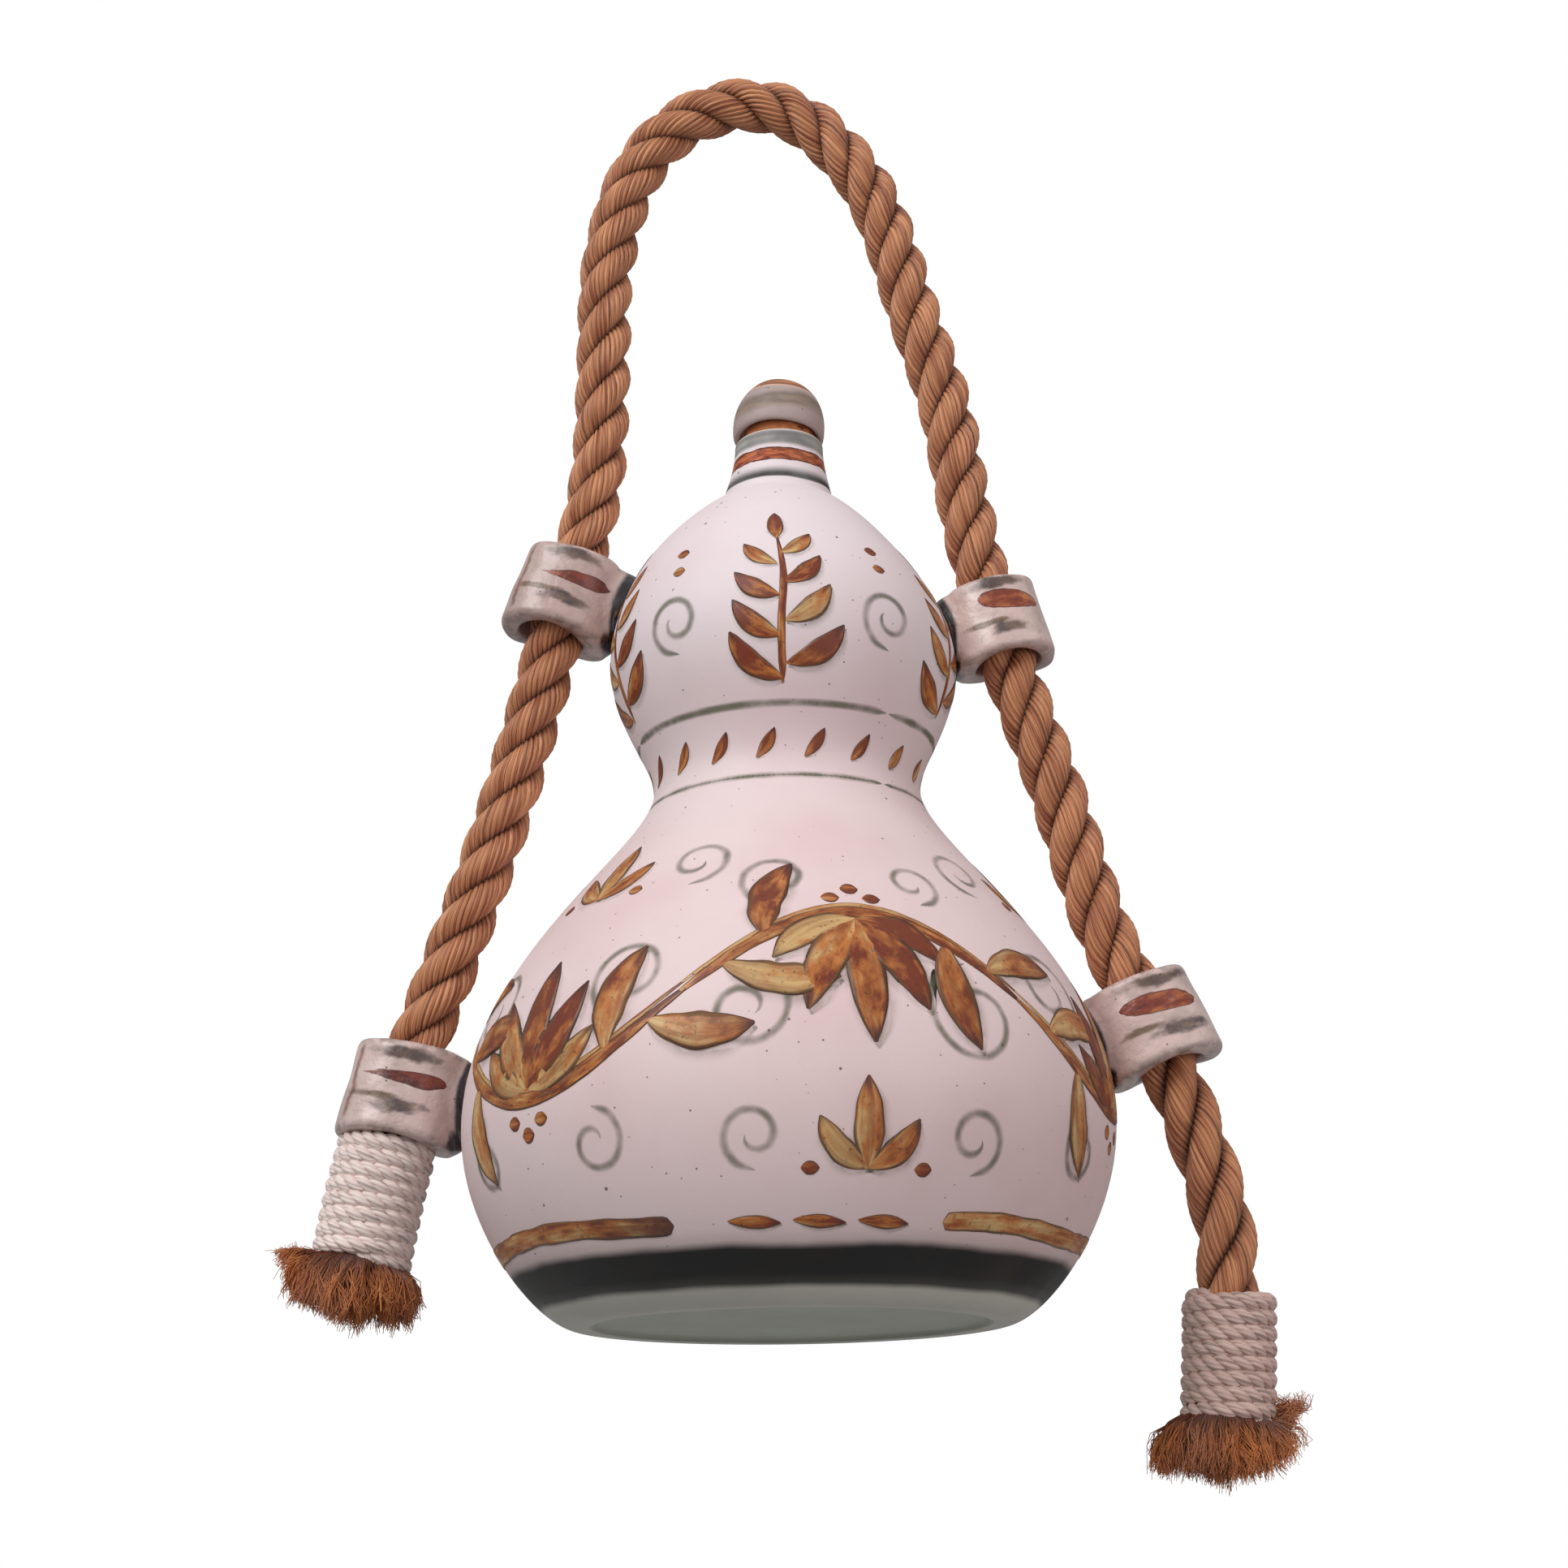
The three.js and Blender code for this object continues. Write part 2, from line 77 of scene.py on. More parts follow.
# Body outline, from the foot upwards
FOOT_RADIUS = 50 * MM
FOOT_RING_DROP = 3.4 * MM
RECESS_RADIUS = 45.5 * MM
RECESS_DEPTH = 1.2 * MM
BELLY_RADIUS = 76.6 * MM
BELLY_HEIGHT = 42 * MM
WAIST_RADIUS = 32.7 * MM
WAIST_HEIGHT = 125 * MM
BULB_RADIUS = 43.3 * MM
BULB_HEIGHT = 158 * MM
SHOULDER_RADIUS = 14.4 * MM
SHOULDER_HEIGHT = 203.2 * MM
SHOULDER_SLOPE = math.radians(33)
LIP_RADIUS = 11.3 * MM
LIP_ROUNDING = 1.2 * MM
MOUTH_ROUNDING = 0.7 * LIP_ROUNDING
WALL = 5 * MM
FLOOR_THICKNESS = 7 * MM
NECK_BORE_RADIUS = 8.4 * MM
BODY_SEGMENTS = 176
OUTSIDE_STEPS = 44
INSIDE_STEPS = 14
NECK_STEPS = 24

# How long the outline keeps its direction at each turn
FOOT_EASE = 7.6 * MM
BELLY_UNDER_EASE = 23.8 * MM
BELLY_OVER_EASE = 40 * MM
WAIST_UNDER_EASE = 16.5 * MM
WAIST_OVER_EASE = 8 * MM
BULB_UNDER_EASE = 14.5 * MM
BULB_OVER_EASE = 18 * MM
SHOULDER_EASE = 14 * MM
NECK_EASE = 5 * MM

# Unevenness of the hand-thrown body: sideways shift, its height and its reach up and down
CROOKS = [(-1.4 * MM, 187 * MM, 12 * MM), (0.7 * MM, 125 * MM, 25 * MM)]
WOBBLE = 0.3 * MM
WOBBLE_SCALE_ACROSS = 14
WOBBLE_SCALE_UP = 22

# Painted bands: heights above the foot where a soft edge begins and where it is full
FOOT_HALO = (11.5 * MM, 7 * MM)
FOOT_BAND = (8.8 * MM, 6.8 * MM)
FOOT_LOWER_EDGE = (2.6 * MM, 0.4 * MM)
BASE_TOP = (2.5 * MM, 1.2 * MM)
NECK_RING_BELOW = (204.9 * MM, 205.5 * MM)
NECK_RING_ABOVE = (209.2 * MM, 206 * MM)
LIP_BAND = (219.2 * MM, 219.7 * MM)
# Bands with two soft edges: low, high and softness
RED_BAND = (210.5 * MM, 214.3 * MM, 0.15 * MM)
RED_BAND_MIDDLE = (210.9 * MM, 213.9 * MM, 0.25 * MM)
GREEN_BAND = (215.4 * MM, 219.4 * MM, 0.7 * MM)
# Rings under the base, as radii
BASE_EDGE = (57.8 * MM, 56 * MM)
BASE_INNER_EDGE = (47 * MM, 44 * MM)
BASE_RING = (44.6 * MM, 46 * MM, 0.7 * MM)

# Vine round the belly: waves, middle height, swing, and where along its wave it starts at the front
VINE_WAVES = 3
VINE_HEIGHT = 60 * MM
VINE_SWING = 20 * MM
VINE_START = 0.9
PAINTER_SEED = 12
# Angle and height of a stray drop of oxide
STRAY_DROP = (math.radians(-45.5), 43.5 * MM)
STRAY_DROP_SIZE = 1.8 * MM
STRAY_DROP_TONE = 0.95
# How far the strokes of oxide, the lines of wash and the leaves' shadows stand on the glaze
OXIDE_LIFT = 0.05 * MM
WASH_LIFT = 0.03 * MM
SHADOW_LIFT = 0.02 * MM
# Thickness of the paint, as a share of a stroke's width
OXIDE_THICKNESS = 0.045
WASH_THICKNESS = 0.02
# Strokes: steps between two places, sides, least width and waver as shares of the full width
STROKE_STEPS = 8
STROKE_SIDES = 10
STROKE_FULLNESS = 0.75
STROKE_LEAST = 0.08
STROKE_WAVER = 0.16
STROKE_WAVER_SCALE = 190
# Shadow of a leaf: shift and width as shares of the leaf's width, and tone
SHADOW_ACROSS = 0.07
SHADOW_UP = -0.14
SHADOW_WIDTH = 1.4
SHADOW_TONE = 0.4
WASH_WIDTH = 2.6 * MM
TENDRIL_TONE = 0.48
RING_TONE = 0.75
# Steps to both sides of a spot that show how the glaze slopes there
SLOPE_ANGLE = 0.01
SLOPE_HEIGHT = 0.3 * MM

# Lugs: reach is from the body to the bore's middle, width and tall are shares of the usual lug, and the
# painted stroke starts and ends at shares of the lug's half width
LUGS = {
    "upper_left_lug": dict(side=-1, height=177.4 * MM, reach=17.9 * MM, lean=math.radians(16),
                           width=1.02, tall=0.96, stroke_start=-0.66, stroke_end=0.9),
    "upper_right_lug": dict(side=1, height=167.9 * MM, reach=13.3 * MM, lean=math.radians(11),
                            width=0.94, tall=0.89, stroke_start=-0.44, stroke_end=0.8),
    "lower_left_lug": dict(side=-1, height=50.9 * MM, reach=15.9 * MM, lean=math.radians(10.5),
                           width=1.06, tall=0.98, stroke_start=-0.86, stroke_end=0.84),
    "lower_right_lug": dict(side=1, height=65.2 * MM, reach=15.6 * MM, lean=math.radians(19),
                            width=1.05, tall=0.96, stroke_start=-0.62, stroke_end=0.74),
}
LUG_HEIGHT = 24 * MM
LUG_TOP_RADIUS = 11.4 * MM
LUG_BOTTOM_RADIUS = 13.0 * MM
LUG_BORE_RADIUS = 8.3 * MM
LUG_BORE_EDGE = 1.9 * MM
LUG_RIM_EDGE = 2.6 * MM
# Largest share of the wall that each rounded edge takes up
LUG_BORE_EDGE_SHARE = 0.4
LUG_RIM_EDGE_SHARE = 0.58
LUG_SQUARENESS = 2.4
LUG_ARCH = 0.16
LUG_STRETCH = 0.12
LUG_ROOT_WIDTH = 13 * MM
LUG_ROOT_HEIGHT = 20 * MM
LUG_ROOT_SINK = 1.5 * MM
# The root fades out from its inner share to its outer one
LUG_ROOT_INNER = 0.75
LUG_ROOT_OUTER = 1.25
LUG_WOBBLE = 0.35 * MM
LUG_WOBBLE_SCALE = 130
LUG_RUN_STEP = 0.8 * MM
LUG_EDGE_STEPS = 7
LUG_SEGMENTS = 120
LUG_SEED_STEP = 1.7

# Stopper, with its heights measured up from the lip
CORK_DEPTH = 18 * MM
CORK_TIP_RADIUS = 7.4 * MM
CORK_NECK_RADIUS = 8.1 * MM
CORK_HEAD_RADIUS = 9.3 * MM
CORK_HEAD_LOW = 0.3 * MM
CORK_HEAD_TOP = 3.6 * MM
CORK_EDGE = 0.3 * MM
STEM_RADIUS = 5 * MM
STEM_HEIGHT = 6.8 * MM
STEM_CLEARANCE = 0.3 * MM
STEM_HEADROOM = 0.5 * MM
KNOB_RIM_LOW = 1.3 * MM
KNOB_RIM_RADIUS = 10.8 * MM
KNOB_SEAT = 3.0 * MM
KNOB_SEAT_RADIUS = 9.0 * MM
KNOB_RADIUS = 11.9 * MM
KNOB_WIDEST = 4.8 * MM
KNOB_CROWN_HEIGHT = 14.0 * MM
KNOB_CROWN_RADIUS = 8.8 * MM
KNOB_TOP = 17.6 * MM
KNOB_TILT = math.radians(2)
KNOB_LEAN = math.radians(-6)
STOPPER_WOBBLE = 0.25 * MM
CORK_WOBBLE_SCALE = 420
KNOB_WOBBLE_SCALE = 90
CORK_SEGMENTS = 96
KNOB_SEGMENTS = 112
# Painted bands on the knob
KNOB_SMUDGE = (6.2 * MM, 10.8 * MM, 1.3 * MM)
KNOB_PALE_RIM = (13.1 * MM, 13.7 * MM, 0.25 * MM)
KNOB_BROWN_CROWN = (13.6 * MM, 14.0 * MM)

# Rope, whippings and frayed ends
ROPE_RADIUS = 7.3 * MM
ROPE_STRANDS = 3
STRAND_RADIUS = 3.75 * MM
STRAND_YARNS = 14
STRAND_SIDES = 4 * STRAND_YARNS
STRAND_YARN_DEPTH = 0.12
ROPE_LAY = 38 * MM
TAIL_LAY = 46 * MM
ROPE_STEP = 1.8 * MM
WHIPPING_CORD = 4.7 * MM
WHIPPING_STRANDS = 3
WHIPPING_STRAND_RADIUS = 0.27 * WHIPPING_CORD
WHIPPING_YARNS = 6
WHIPPING_SIDES = 2 * WHIPPING_YARNS
WHIPPING_YARN_DEPTH = 0.04
WHIPPING_LAY = 9 * MM
WHIPPING_STEP = 0.55 * MM
WHIPPING_PITCH = 3.4 * MM
WHIPPING_STEPS_PER_TURN = 30
# How deep the cord's ends go under the turns, and how far back along the rope for each turn
WHIPPING_TUCK = 0.8 * WHIPPING_CORD
WHIPPING_TUCK_BACK = 0.5 * WHIPPING_PITCH
# Turn of the yarns in a strand, in radians for each metre of rope or cord
STRAND_YARN_TURN = -250.0
WHIPPING_YARN_TURN = -500.0
LEFT_WHIPPING_TURNS = 7.9
LEFT_WHIPPING_RADIUS = 9.55 * MM
LEFT_WHIPPING_FROM_END = 3.4 * MM
RIGHT_WHIPPING_TURNS = 8.3
RIGHT_WHIPPING_RADIUS = 8.65 * MM
RIGHT_WHIPPING_FROM_END = 2.2 * MM
FIBRES = 7000
FIBRE_LENGTH = 13.5 * MM
FIBRE_POINTS = 5
FIBRE_RADIUS = 0.15 * MM
FIBRE_SIDES = 3
FIBRE_FLARE = 0.5
FIBRE_CURL = 15 * MM
FIBRE_ROOT_RADIUS = 1.3 * ROPE_RADIUS
FIBRE_ROOT_RAISED = 3.8 * MM
FIBRE_LOCKS_PER_METRE = 210
# Core that closes the brush behind its fibres, in the dark root colour as painted shade inside the brush
CORE_SEGMENTS = 24
CORE_RINGS = 12
CORE_LENGTH_SHARE = 0.6
# Frayed ends: which way and how strongly some fibres stand up, shift to the side, seed
LEFT_FRAY = (-0.975, -1.0 * MM, 4)
RIGHT_FRAY = (1.05, -0.9 * MM, 9)

# Rope route from the left end, up over the handle and down to the right end: across, height
ROPE_ROUTE = [
    (-0.1002, 0.0098), (-0.0972, 0.0277), (-0.0939, 0.0423), (-0.0909, 0.0535), (-0.0879, 0.0645),
    (-0.0821, 0.081), (-0.0703, 0.117), (-0.0601, 0.1558), (-0.0548, 0.1785), (-0.0514, 0.1902),
    (-0.0495, 0.1975), (-0.0468, 0.215), (-0.0458, 0.247), (-0.0454, 0.269), (-0.0432, 0.284),
    (-0.0389, 0.299), (-0.031, 0.312), (-0.0208, 0.32), (-0.009, 0.3233), (0.0014, 0.3216),
    (0.0105, 0.316), (0.0185, 0.307), (0.0247, 0.297), (0.0302, 0.282), (0.0357, 0.26),
    (0.0435, 0.231), (0.0472, 0.205), (0.0503, 0.1865), (0.052, 0.1792), (0.0549, 0.1676),
    (0.0577, 0.156), (0.0663, 0.1285), (0.0764, 0.091), (0.0824, 0.076), (0.087, 0.0645),
    (0.0913, 0.0532), (0.0939, 0.0461), (0.1006, 0.02), (0.1008, 0.003), (0.0984, -0.0285),
]
ROUTE_STEPS = 12
# Places on the route, counted from its start
LEFT_HINGE = 10
RIGHT_HINGE = 27
LOWER_RIGHT_LUG_PLACE = 34
TAIL_SEAT = 35
TAIL_HINGE = 36
# How far above and below the hinge line the handle bends
BEND_ABOVE = 10 * MM
BEND_BELOW = 7.5 * MM

# Camera
CAMERA_DISTANCE = 0.545
CAMERA_BELOW_FOOT = 50.4 * MM
CAMERA_PITCH = math.radians(18.11)
CAMERA_ROLL = math.radians(-0.8456)
CAMERA_LENS = 53.22
CAMERA_SENSOR = 36

# Lights: name, place, size across, power, colour
LIGHTS = [
    ("key", (-0.7, -0.9, 0.6), 0.8, 11.0, (1.0, 1.0, 1.0)),
    ("fill", (0.7, -0.9, -0.1), 0.9, 3.2, (1.0, 0.87, 0.86)),
    ("top", (0.1, -0.2, 0.9), 0.9, 0.8, (1.0, 1.0, 1.0)),
]
SKY_LIGHT = 0.48
GROUND_LIGHT = 0.2
FLOOR_LEVEL = -0.66
FLOOR_SIZE = 6.0

# How strongly glaze and fibre bend light
GLAZE_IOR = 1.5
FIBRE_IOR = 1.45

# Kinds of socket in node groups
NUMBER = "NodeSocketFloat"
COUNT = "NodeSocketInt"
VECTOR = "NodeSocketVector"
COLOUR = "NodeSocketColor"
SHAPE = "NodeSocketGeometry"
FINISH = "NodeSocketMaterial"


# Node helpers

def shade(red, green, blue):
    """Colour from screen values of 0 to 255."""
    screen = [value / 255 for value in (red, green, blue)]
    linear = [s / 12.92 if s <= 0.04045 else ((s + 0.055) / 1.055) ** 2.4 for s in screen]
    return (*linear, 1.0)


class Value:
    """Output of a node, which plain arithmetic joins to further nodes."""

    def __init__(self, nodes, socket):
        self.nodes = nodes
        self.socket = socket

    def __add__(self, other):
        return self.nodes.math("ADD", self, other)

    def __sub__(self, other):
        return self.nodes.math("SUBTRACT", self, other)

    def __rsub__(self, other):
        return self.nodes.math("SUBTRACT", other, self)

    def __mul__(self, other):
        return self.nodes.math("MULTIPLY", self, other)

    def __truediv__(self, other):
        return self.nodes.math("DIVIDE", self, other)

    def __pow__(self, other):
        return self.nodes.math("POWER", self, other)

    def __abs__(self):
        return self.nodes.math("ABSOLUTE", self)


def is_vector(value):
    """Whether a node's output, or a plain value, has three parts."""
    if isinstance(value, Value):
        return value.socket.type == "VECTOR"
    return isinstance(value, tuple)


class Nodes:
    """Short calls that add nodes to a tree and join them."""

    def __init__(self, tree):
        self.tree = tree

    def join(self, value, socket):
        if isinstance(value, Value):
            self.tree.links.new(value.socket, socket)
        else:
            socket.default_value = value

    def fill(self, sockets, values):
        """Joins values to sockets by their names or numbers."""
        for key, value in values.items():
            self.join(value, sockets[key])

    def add(self, kind, inputs=None, **settings):
        node = self.tree.nodes.new(kind)
        for name, value in settings.items():
            setattr(node, name, value)
        self.fill(node.inputs, inputs or {})
        return node

    def take(self, kind, inputs=None, output=0, **settings):
        """One output of a new node."""
        return Value(self, self.add(kind, inputs, **settings).outputs[output])

    def outputs(self, kind, inputs=None, **settings):
        """All outputs of a new node, by name."""
        node = self.add(kind, inputs, **settings)
        return {socket.name: Value(self, socket) for socket in node.outputs}

    def math(self, operation, *values):
        """Result for numbers, or for vectors where there is one among the values."""
        vectors = [value for value in values if is_vector(value)]
        numbers = [value for value in values if not is_vector(value)]
        if not vectors:
            return self.take("ShaderNodeMath", dict(enumerate(values)), operation=operation)
        if operation == "MULTIPLY" and numbers:
            inputs = {0: vectors[0], "Scale": numbers[0]}
            return self.take("ShaderNodeVectorMath", inputs, operation="SCALE")
        return self.vector(operation, *values)

    def vector(self, operation, *values):
        output = "Value" if operation in ("LENGTH", "DISTANCE", "DOT_PRODUCT") else "Vector"
        return self.take("ShaderNodeVectorMath", dict(enumerate(values)), output, operation=operation)

    def ease(self, value, low, high):
        """0 at low, 1 at high, smooth between."""
        inputs = {"Value": value, 1: low, 2: high}
        return self.take("ShaderNodeMapRange", inputs, interpolation_type="SMOOTHSTEP")

    def between(self, value, low, high, soft):
        """1 from low to high, fading over a soft edge on both sides."""
        return self.ease(value, low - soft, low + soft) * self.ease(value, high + soft, high - soft)

    def noise(self, vector, scale, detail=2.0, roughness=0.5, distortion=0.0):
        inputs = {"Vector": vector, "Scale": scale, "Detail": detail, "Roughness": roughness,
                  "Distortion": distortion}
        return self.take("ShaderNodeTexNoise", inputs)

    def cells(self, vector, scale):
        return self.outputs("ShaderNodeTexVoronoi", {"Vector": vector, "Scale": scale})

    def mix(self, factor, first, second):
        """Colour between two colours."""
        return self.take("ShaderNodeMix", {0: factor, 6: first, 7: second}, 2, data_type="RGBA")

    def fade(self, factor, first, second):
        """Number between two numbers."""
        return self.take("ShaderNodeMix", {0: factor, 2: first, 3: second})

    def combine(self, x, y, z):
        return self.take("ShaderNodeCombineXYZ", {0: x, 1: y, 2: z})

    def parts(self, vector):
        return list(self.outputs("ShaderNodeSeparateXYZ", {0: vector}).values())

    def bump(self, height, distance, strength):
        return self.take("ShaderNodeBump", {"Height": height, "Distance": distance, "Strength": strength})

    def attributes(self, prefix, *labels):
        """Values that a piece's mesh carries."""
        return [self.take("ShaderNodeAttribute", output="Fac", attribute_name=prefix + label)
                for label in labels]

    def place(self):
        return self.take("ShaderNodeTexCoord", output="Object")

    def position(self):
        return self.take("GeometryNodeInputPosition")

    def named(self, label, kind="FLOAT"):
        return self.take("GeometryNodeInputNamedAttribute", {"Name": label}, data_type=kind)

    def capture(self, shape, fields):
        """Keeps values on a shape before it changes: the shape and the kept values."""
        node = self.add("GeometryNodeCaptureAttribute", {0: shape})
        for label, field in fields.items():
            kind = field.socket.type
            node.capture_items.new("FLOAT" if kind == "VALUE" else kind, label)
            self.join(field, node.inputs[label])
        return Value(self, node.outputs[0]), {label: Value(self, node.outputs[label]) for label in fields}

    def store(self, shape, values):
        """Writes values on a shape's points under their names."""
        for label, value in values.items():
            inputs = {"Geometry": shape, "Name": label, "Value": value}
            kind = "FLOAT_VECTOR" if is_vector(value) else "FLOAT"
            shape = self.take("GeometryNodeStoreNamedAttribute", inputs, data_type=kind)
        return shape

    def moved(self, shape, **inputs):
        return self.take("GeometryNodeSetPosition", {"Geometry": shape, **inputs})

    def complete(self, shape, material, socket):
        """Ends a tree: smooth, free of instances and with its material."""
        shape = self.take("GeometryNodeSetShadeSmooth", {"Geometry": shape})
        shape = self.take("GeometryNodeRealizeInstances", {"Geometry": shape})
        shape = self.take("GeometryNodeSetMaterial", {"Geometry": shape, "Material": material})
        self.join(shape, socket)
        return self.tree


def new_group(name, kind, inputs, outputs):
    """Empty node group, with what goes in and the sockets for what comes out."""
    tree = bpy.data.node_groups.new(name, kind)
    for sockets, direction in ((inputs, "INPUT"), (outputs, "OUTPUT")):
        for label, socket_type in sockets.items():
            tree.interface.new_socket(name=label, in_out=direction, socket_type=socket_type)
    nodes = Nodes(tree)
    return nodes, nodes.outputs("NodeGroupInput"), nodes.add("NodeGroupOutput").inputs


def new_finish(name, constants):
    """Material with its shader's constant values set, ready for its nodes."""
    material = bpy.data.materials.new(name)
    material.use_nodes = True
    nodes = Nodes(material.node_tree)
    shader = material.node_tree.nodes["Principled BSDF"].inputs
    nodes.fill(shader, constants)
    return material, nodes, shader


# Finishes

def glaze_ground_group():
    """Tin glaze with a soft blush, iron specks, pinholes and a faint orange peel."""
    nodes, given, out = new_group(
        "glaze_ground", "ShaderNodeTree",
        {"Place": VECTOR, "Ground": COLOUR, "Blush": COLOUR, "Speck": COLOUR, "Speck Share": NUMBER},
        {"Color": COLOUR, "Roughness": NUMBER, "Height": NUMBER})
    place = given["Place"]
    broad = nodes.ease(nodes.noise(place, 24, 3), 0.36, 0.68)
    cloudy = nodes.mix(broad, given["Ground"], given["Blush"])
    fine = nodes.ease(nodes.noise(place, 460), 0.5, 0.85)
    mottled = nodes.mix(fine * 0.22, cloudy, given["Blush"])
    specks = []
    for per_metre, size in ((150, 0.055), (330, 0.07)):
        dots = nodes.cells(place, per_metre)
        chance, swell, _ = nodes.parts(dots["Color"])
        picked = nodes.math("LESS_THAN", chance, given["Speck Share"])
        radius = swell * size + size * 0.5
        specks.append(picked * nodes.ease(dots["Distance"], radius, radius * 0.55))
    speck = nodes.math("MAXIMUM", *specks)
    nodes.fill(out, {
        "Color": nodes.mix(speck * 0.8, mottled, given["Speck"]),
        "Roughness": nodes.noise(place, 120, 3) * 0.2 + 0.48,
        "Height": nodes.noise(place, 900, 1) * 0.35 - speck,
    })
    return nodes.tree


def brush_streaks_group():
    """Bristle marks of a loaded brush, drawn out along one direction."""
    nodes, given, out = new_group("brush_streaks", "ShaderNodeTree", {"Place": VECTOR}, {"Mark": NUMBER})
    wide = nodes.noise(given["Place"], 0.4, 2, 0.5, 0.3)
    thin = nodes.noise(given["Place"], 1.0, 2, 0.6)
    nodes.fill(out, {"Mark": nodes.ease(thin * 0.45 + wide * 0.55, 0.36, 0.64)})
    return nodes.tree


def laid_fibre_group():
    """Worn laid-cord fibres: painted highlight on strand crowns, painted shade in the grooves and down in the
    lay.
    """
    nodes, given, out = new_group(
        "laid_fibre", "ShaderNodeTree",
        {"Crevice Shade": COLOUR, "Middle": COLOUR, "Light": COLOUR, "Yarns": NUMBER, "Length": NUMBER},
        {"Color": COLOUR, "Height": NUMBER})
    around, along, strand, outwards = nodes.attributes("lay_", "around", "along", "strand", "outwards")
    threads = nodes.combine(around * (given["Yarns"] * 5), along / given["Length"], strand * 7.3)
    fine = nodes.noise(threads, 1.0, 3, 0.6)
    patches = nodes.noise(nodes.combine(around * 4, along * 90, strand), 1.0)
    yarn = nodes.combine(nodes.math("FLOOR", around * given["Yarns"]), strand, 0.0)
    own = nodes.take("ShaderNodeTexWhiteNoise", {"Vector": yarn}, "Value")
    lightness = (own - 0.5) * 0.5 + nodes.ease(fine, 0.3, 0.7)
    colour = nodes.mix(lightness, given["Middle"], given["Light"])
    colour = nodes.mix(nodes.ease(patches, 0.42, 0.75) * 0.55, colour, given["Middle"])
    ridge = abs(nodes.math("SINE", around * (given["Yarns"] * math.pi)))
    # Painted shade in the grooves between the yarns, patchy along the cord
    groove_shade = nodes.ease(ridge, 0.28, 0.0) * (nodes.ease(patches, 0.3, 0.7) * 0.65 + 0.25)
    colour = nodes.mix(groove_shade, colour, given["Crevice Shade"])
    # Painted highlight on the strands' crowns, then painted shade down where the strands meet
    crown = nodes.ease(outwards, 0.86, 1.0) * nodes.ease(fine, 0.3, 0.6)
    colour = nodes.mix(crown * 0.35, colour, given["Light"])
    colour = nodes.mix(nodes.ease(outwards, 0.88, 0.6) * 0.9, colour, given["Crevice Shade"])
    nodes.fill(out, {"Color": colour, "Height": fine * 0.5 + ridge})
    return nodes.tree


GLAZE_GROUND = glaze_ground_group()
BRUSH_STREAKS = brush_streaks_group()
LAID_FIBRE = laid_fibre_group()


def ground(nodes, place, base, blush, speck, share):
    """Glaze ground in a piece's own colours, with its share of specks."""
    inputs = {"Place": place, "Ground": base, "Blush": blush, "Speck": speck, "Speck Share": share}
    return nodes.outputs("ShaderNodeGroup", inputs, node_tree=GLAZE_GROUND)


def streaks(nodes, place):
    """Bristle marks over a place that is drawn out along the stroke."""
    return nodes.take("ShaderNodeGroup", {"Place": place}, node_tree=BRUSH_STREAKS)


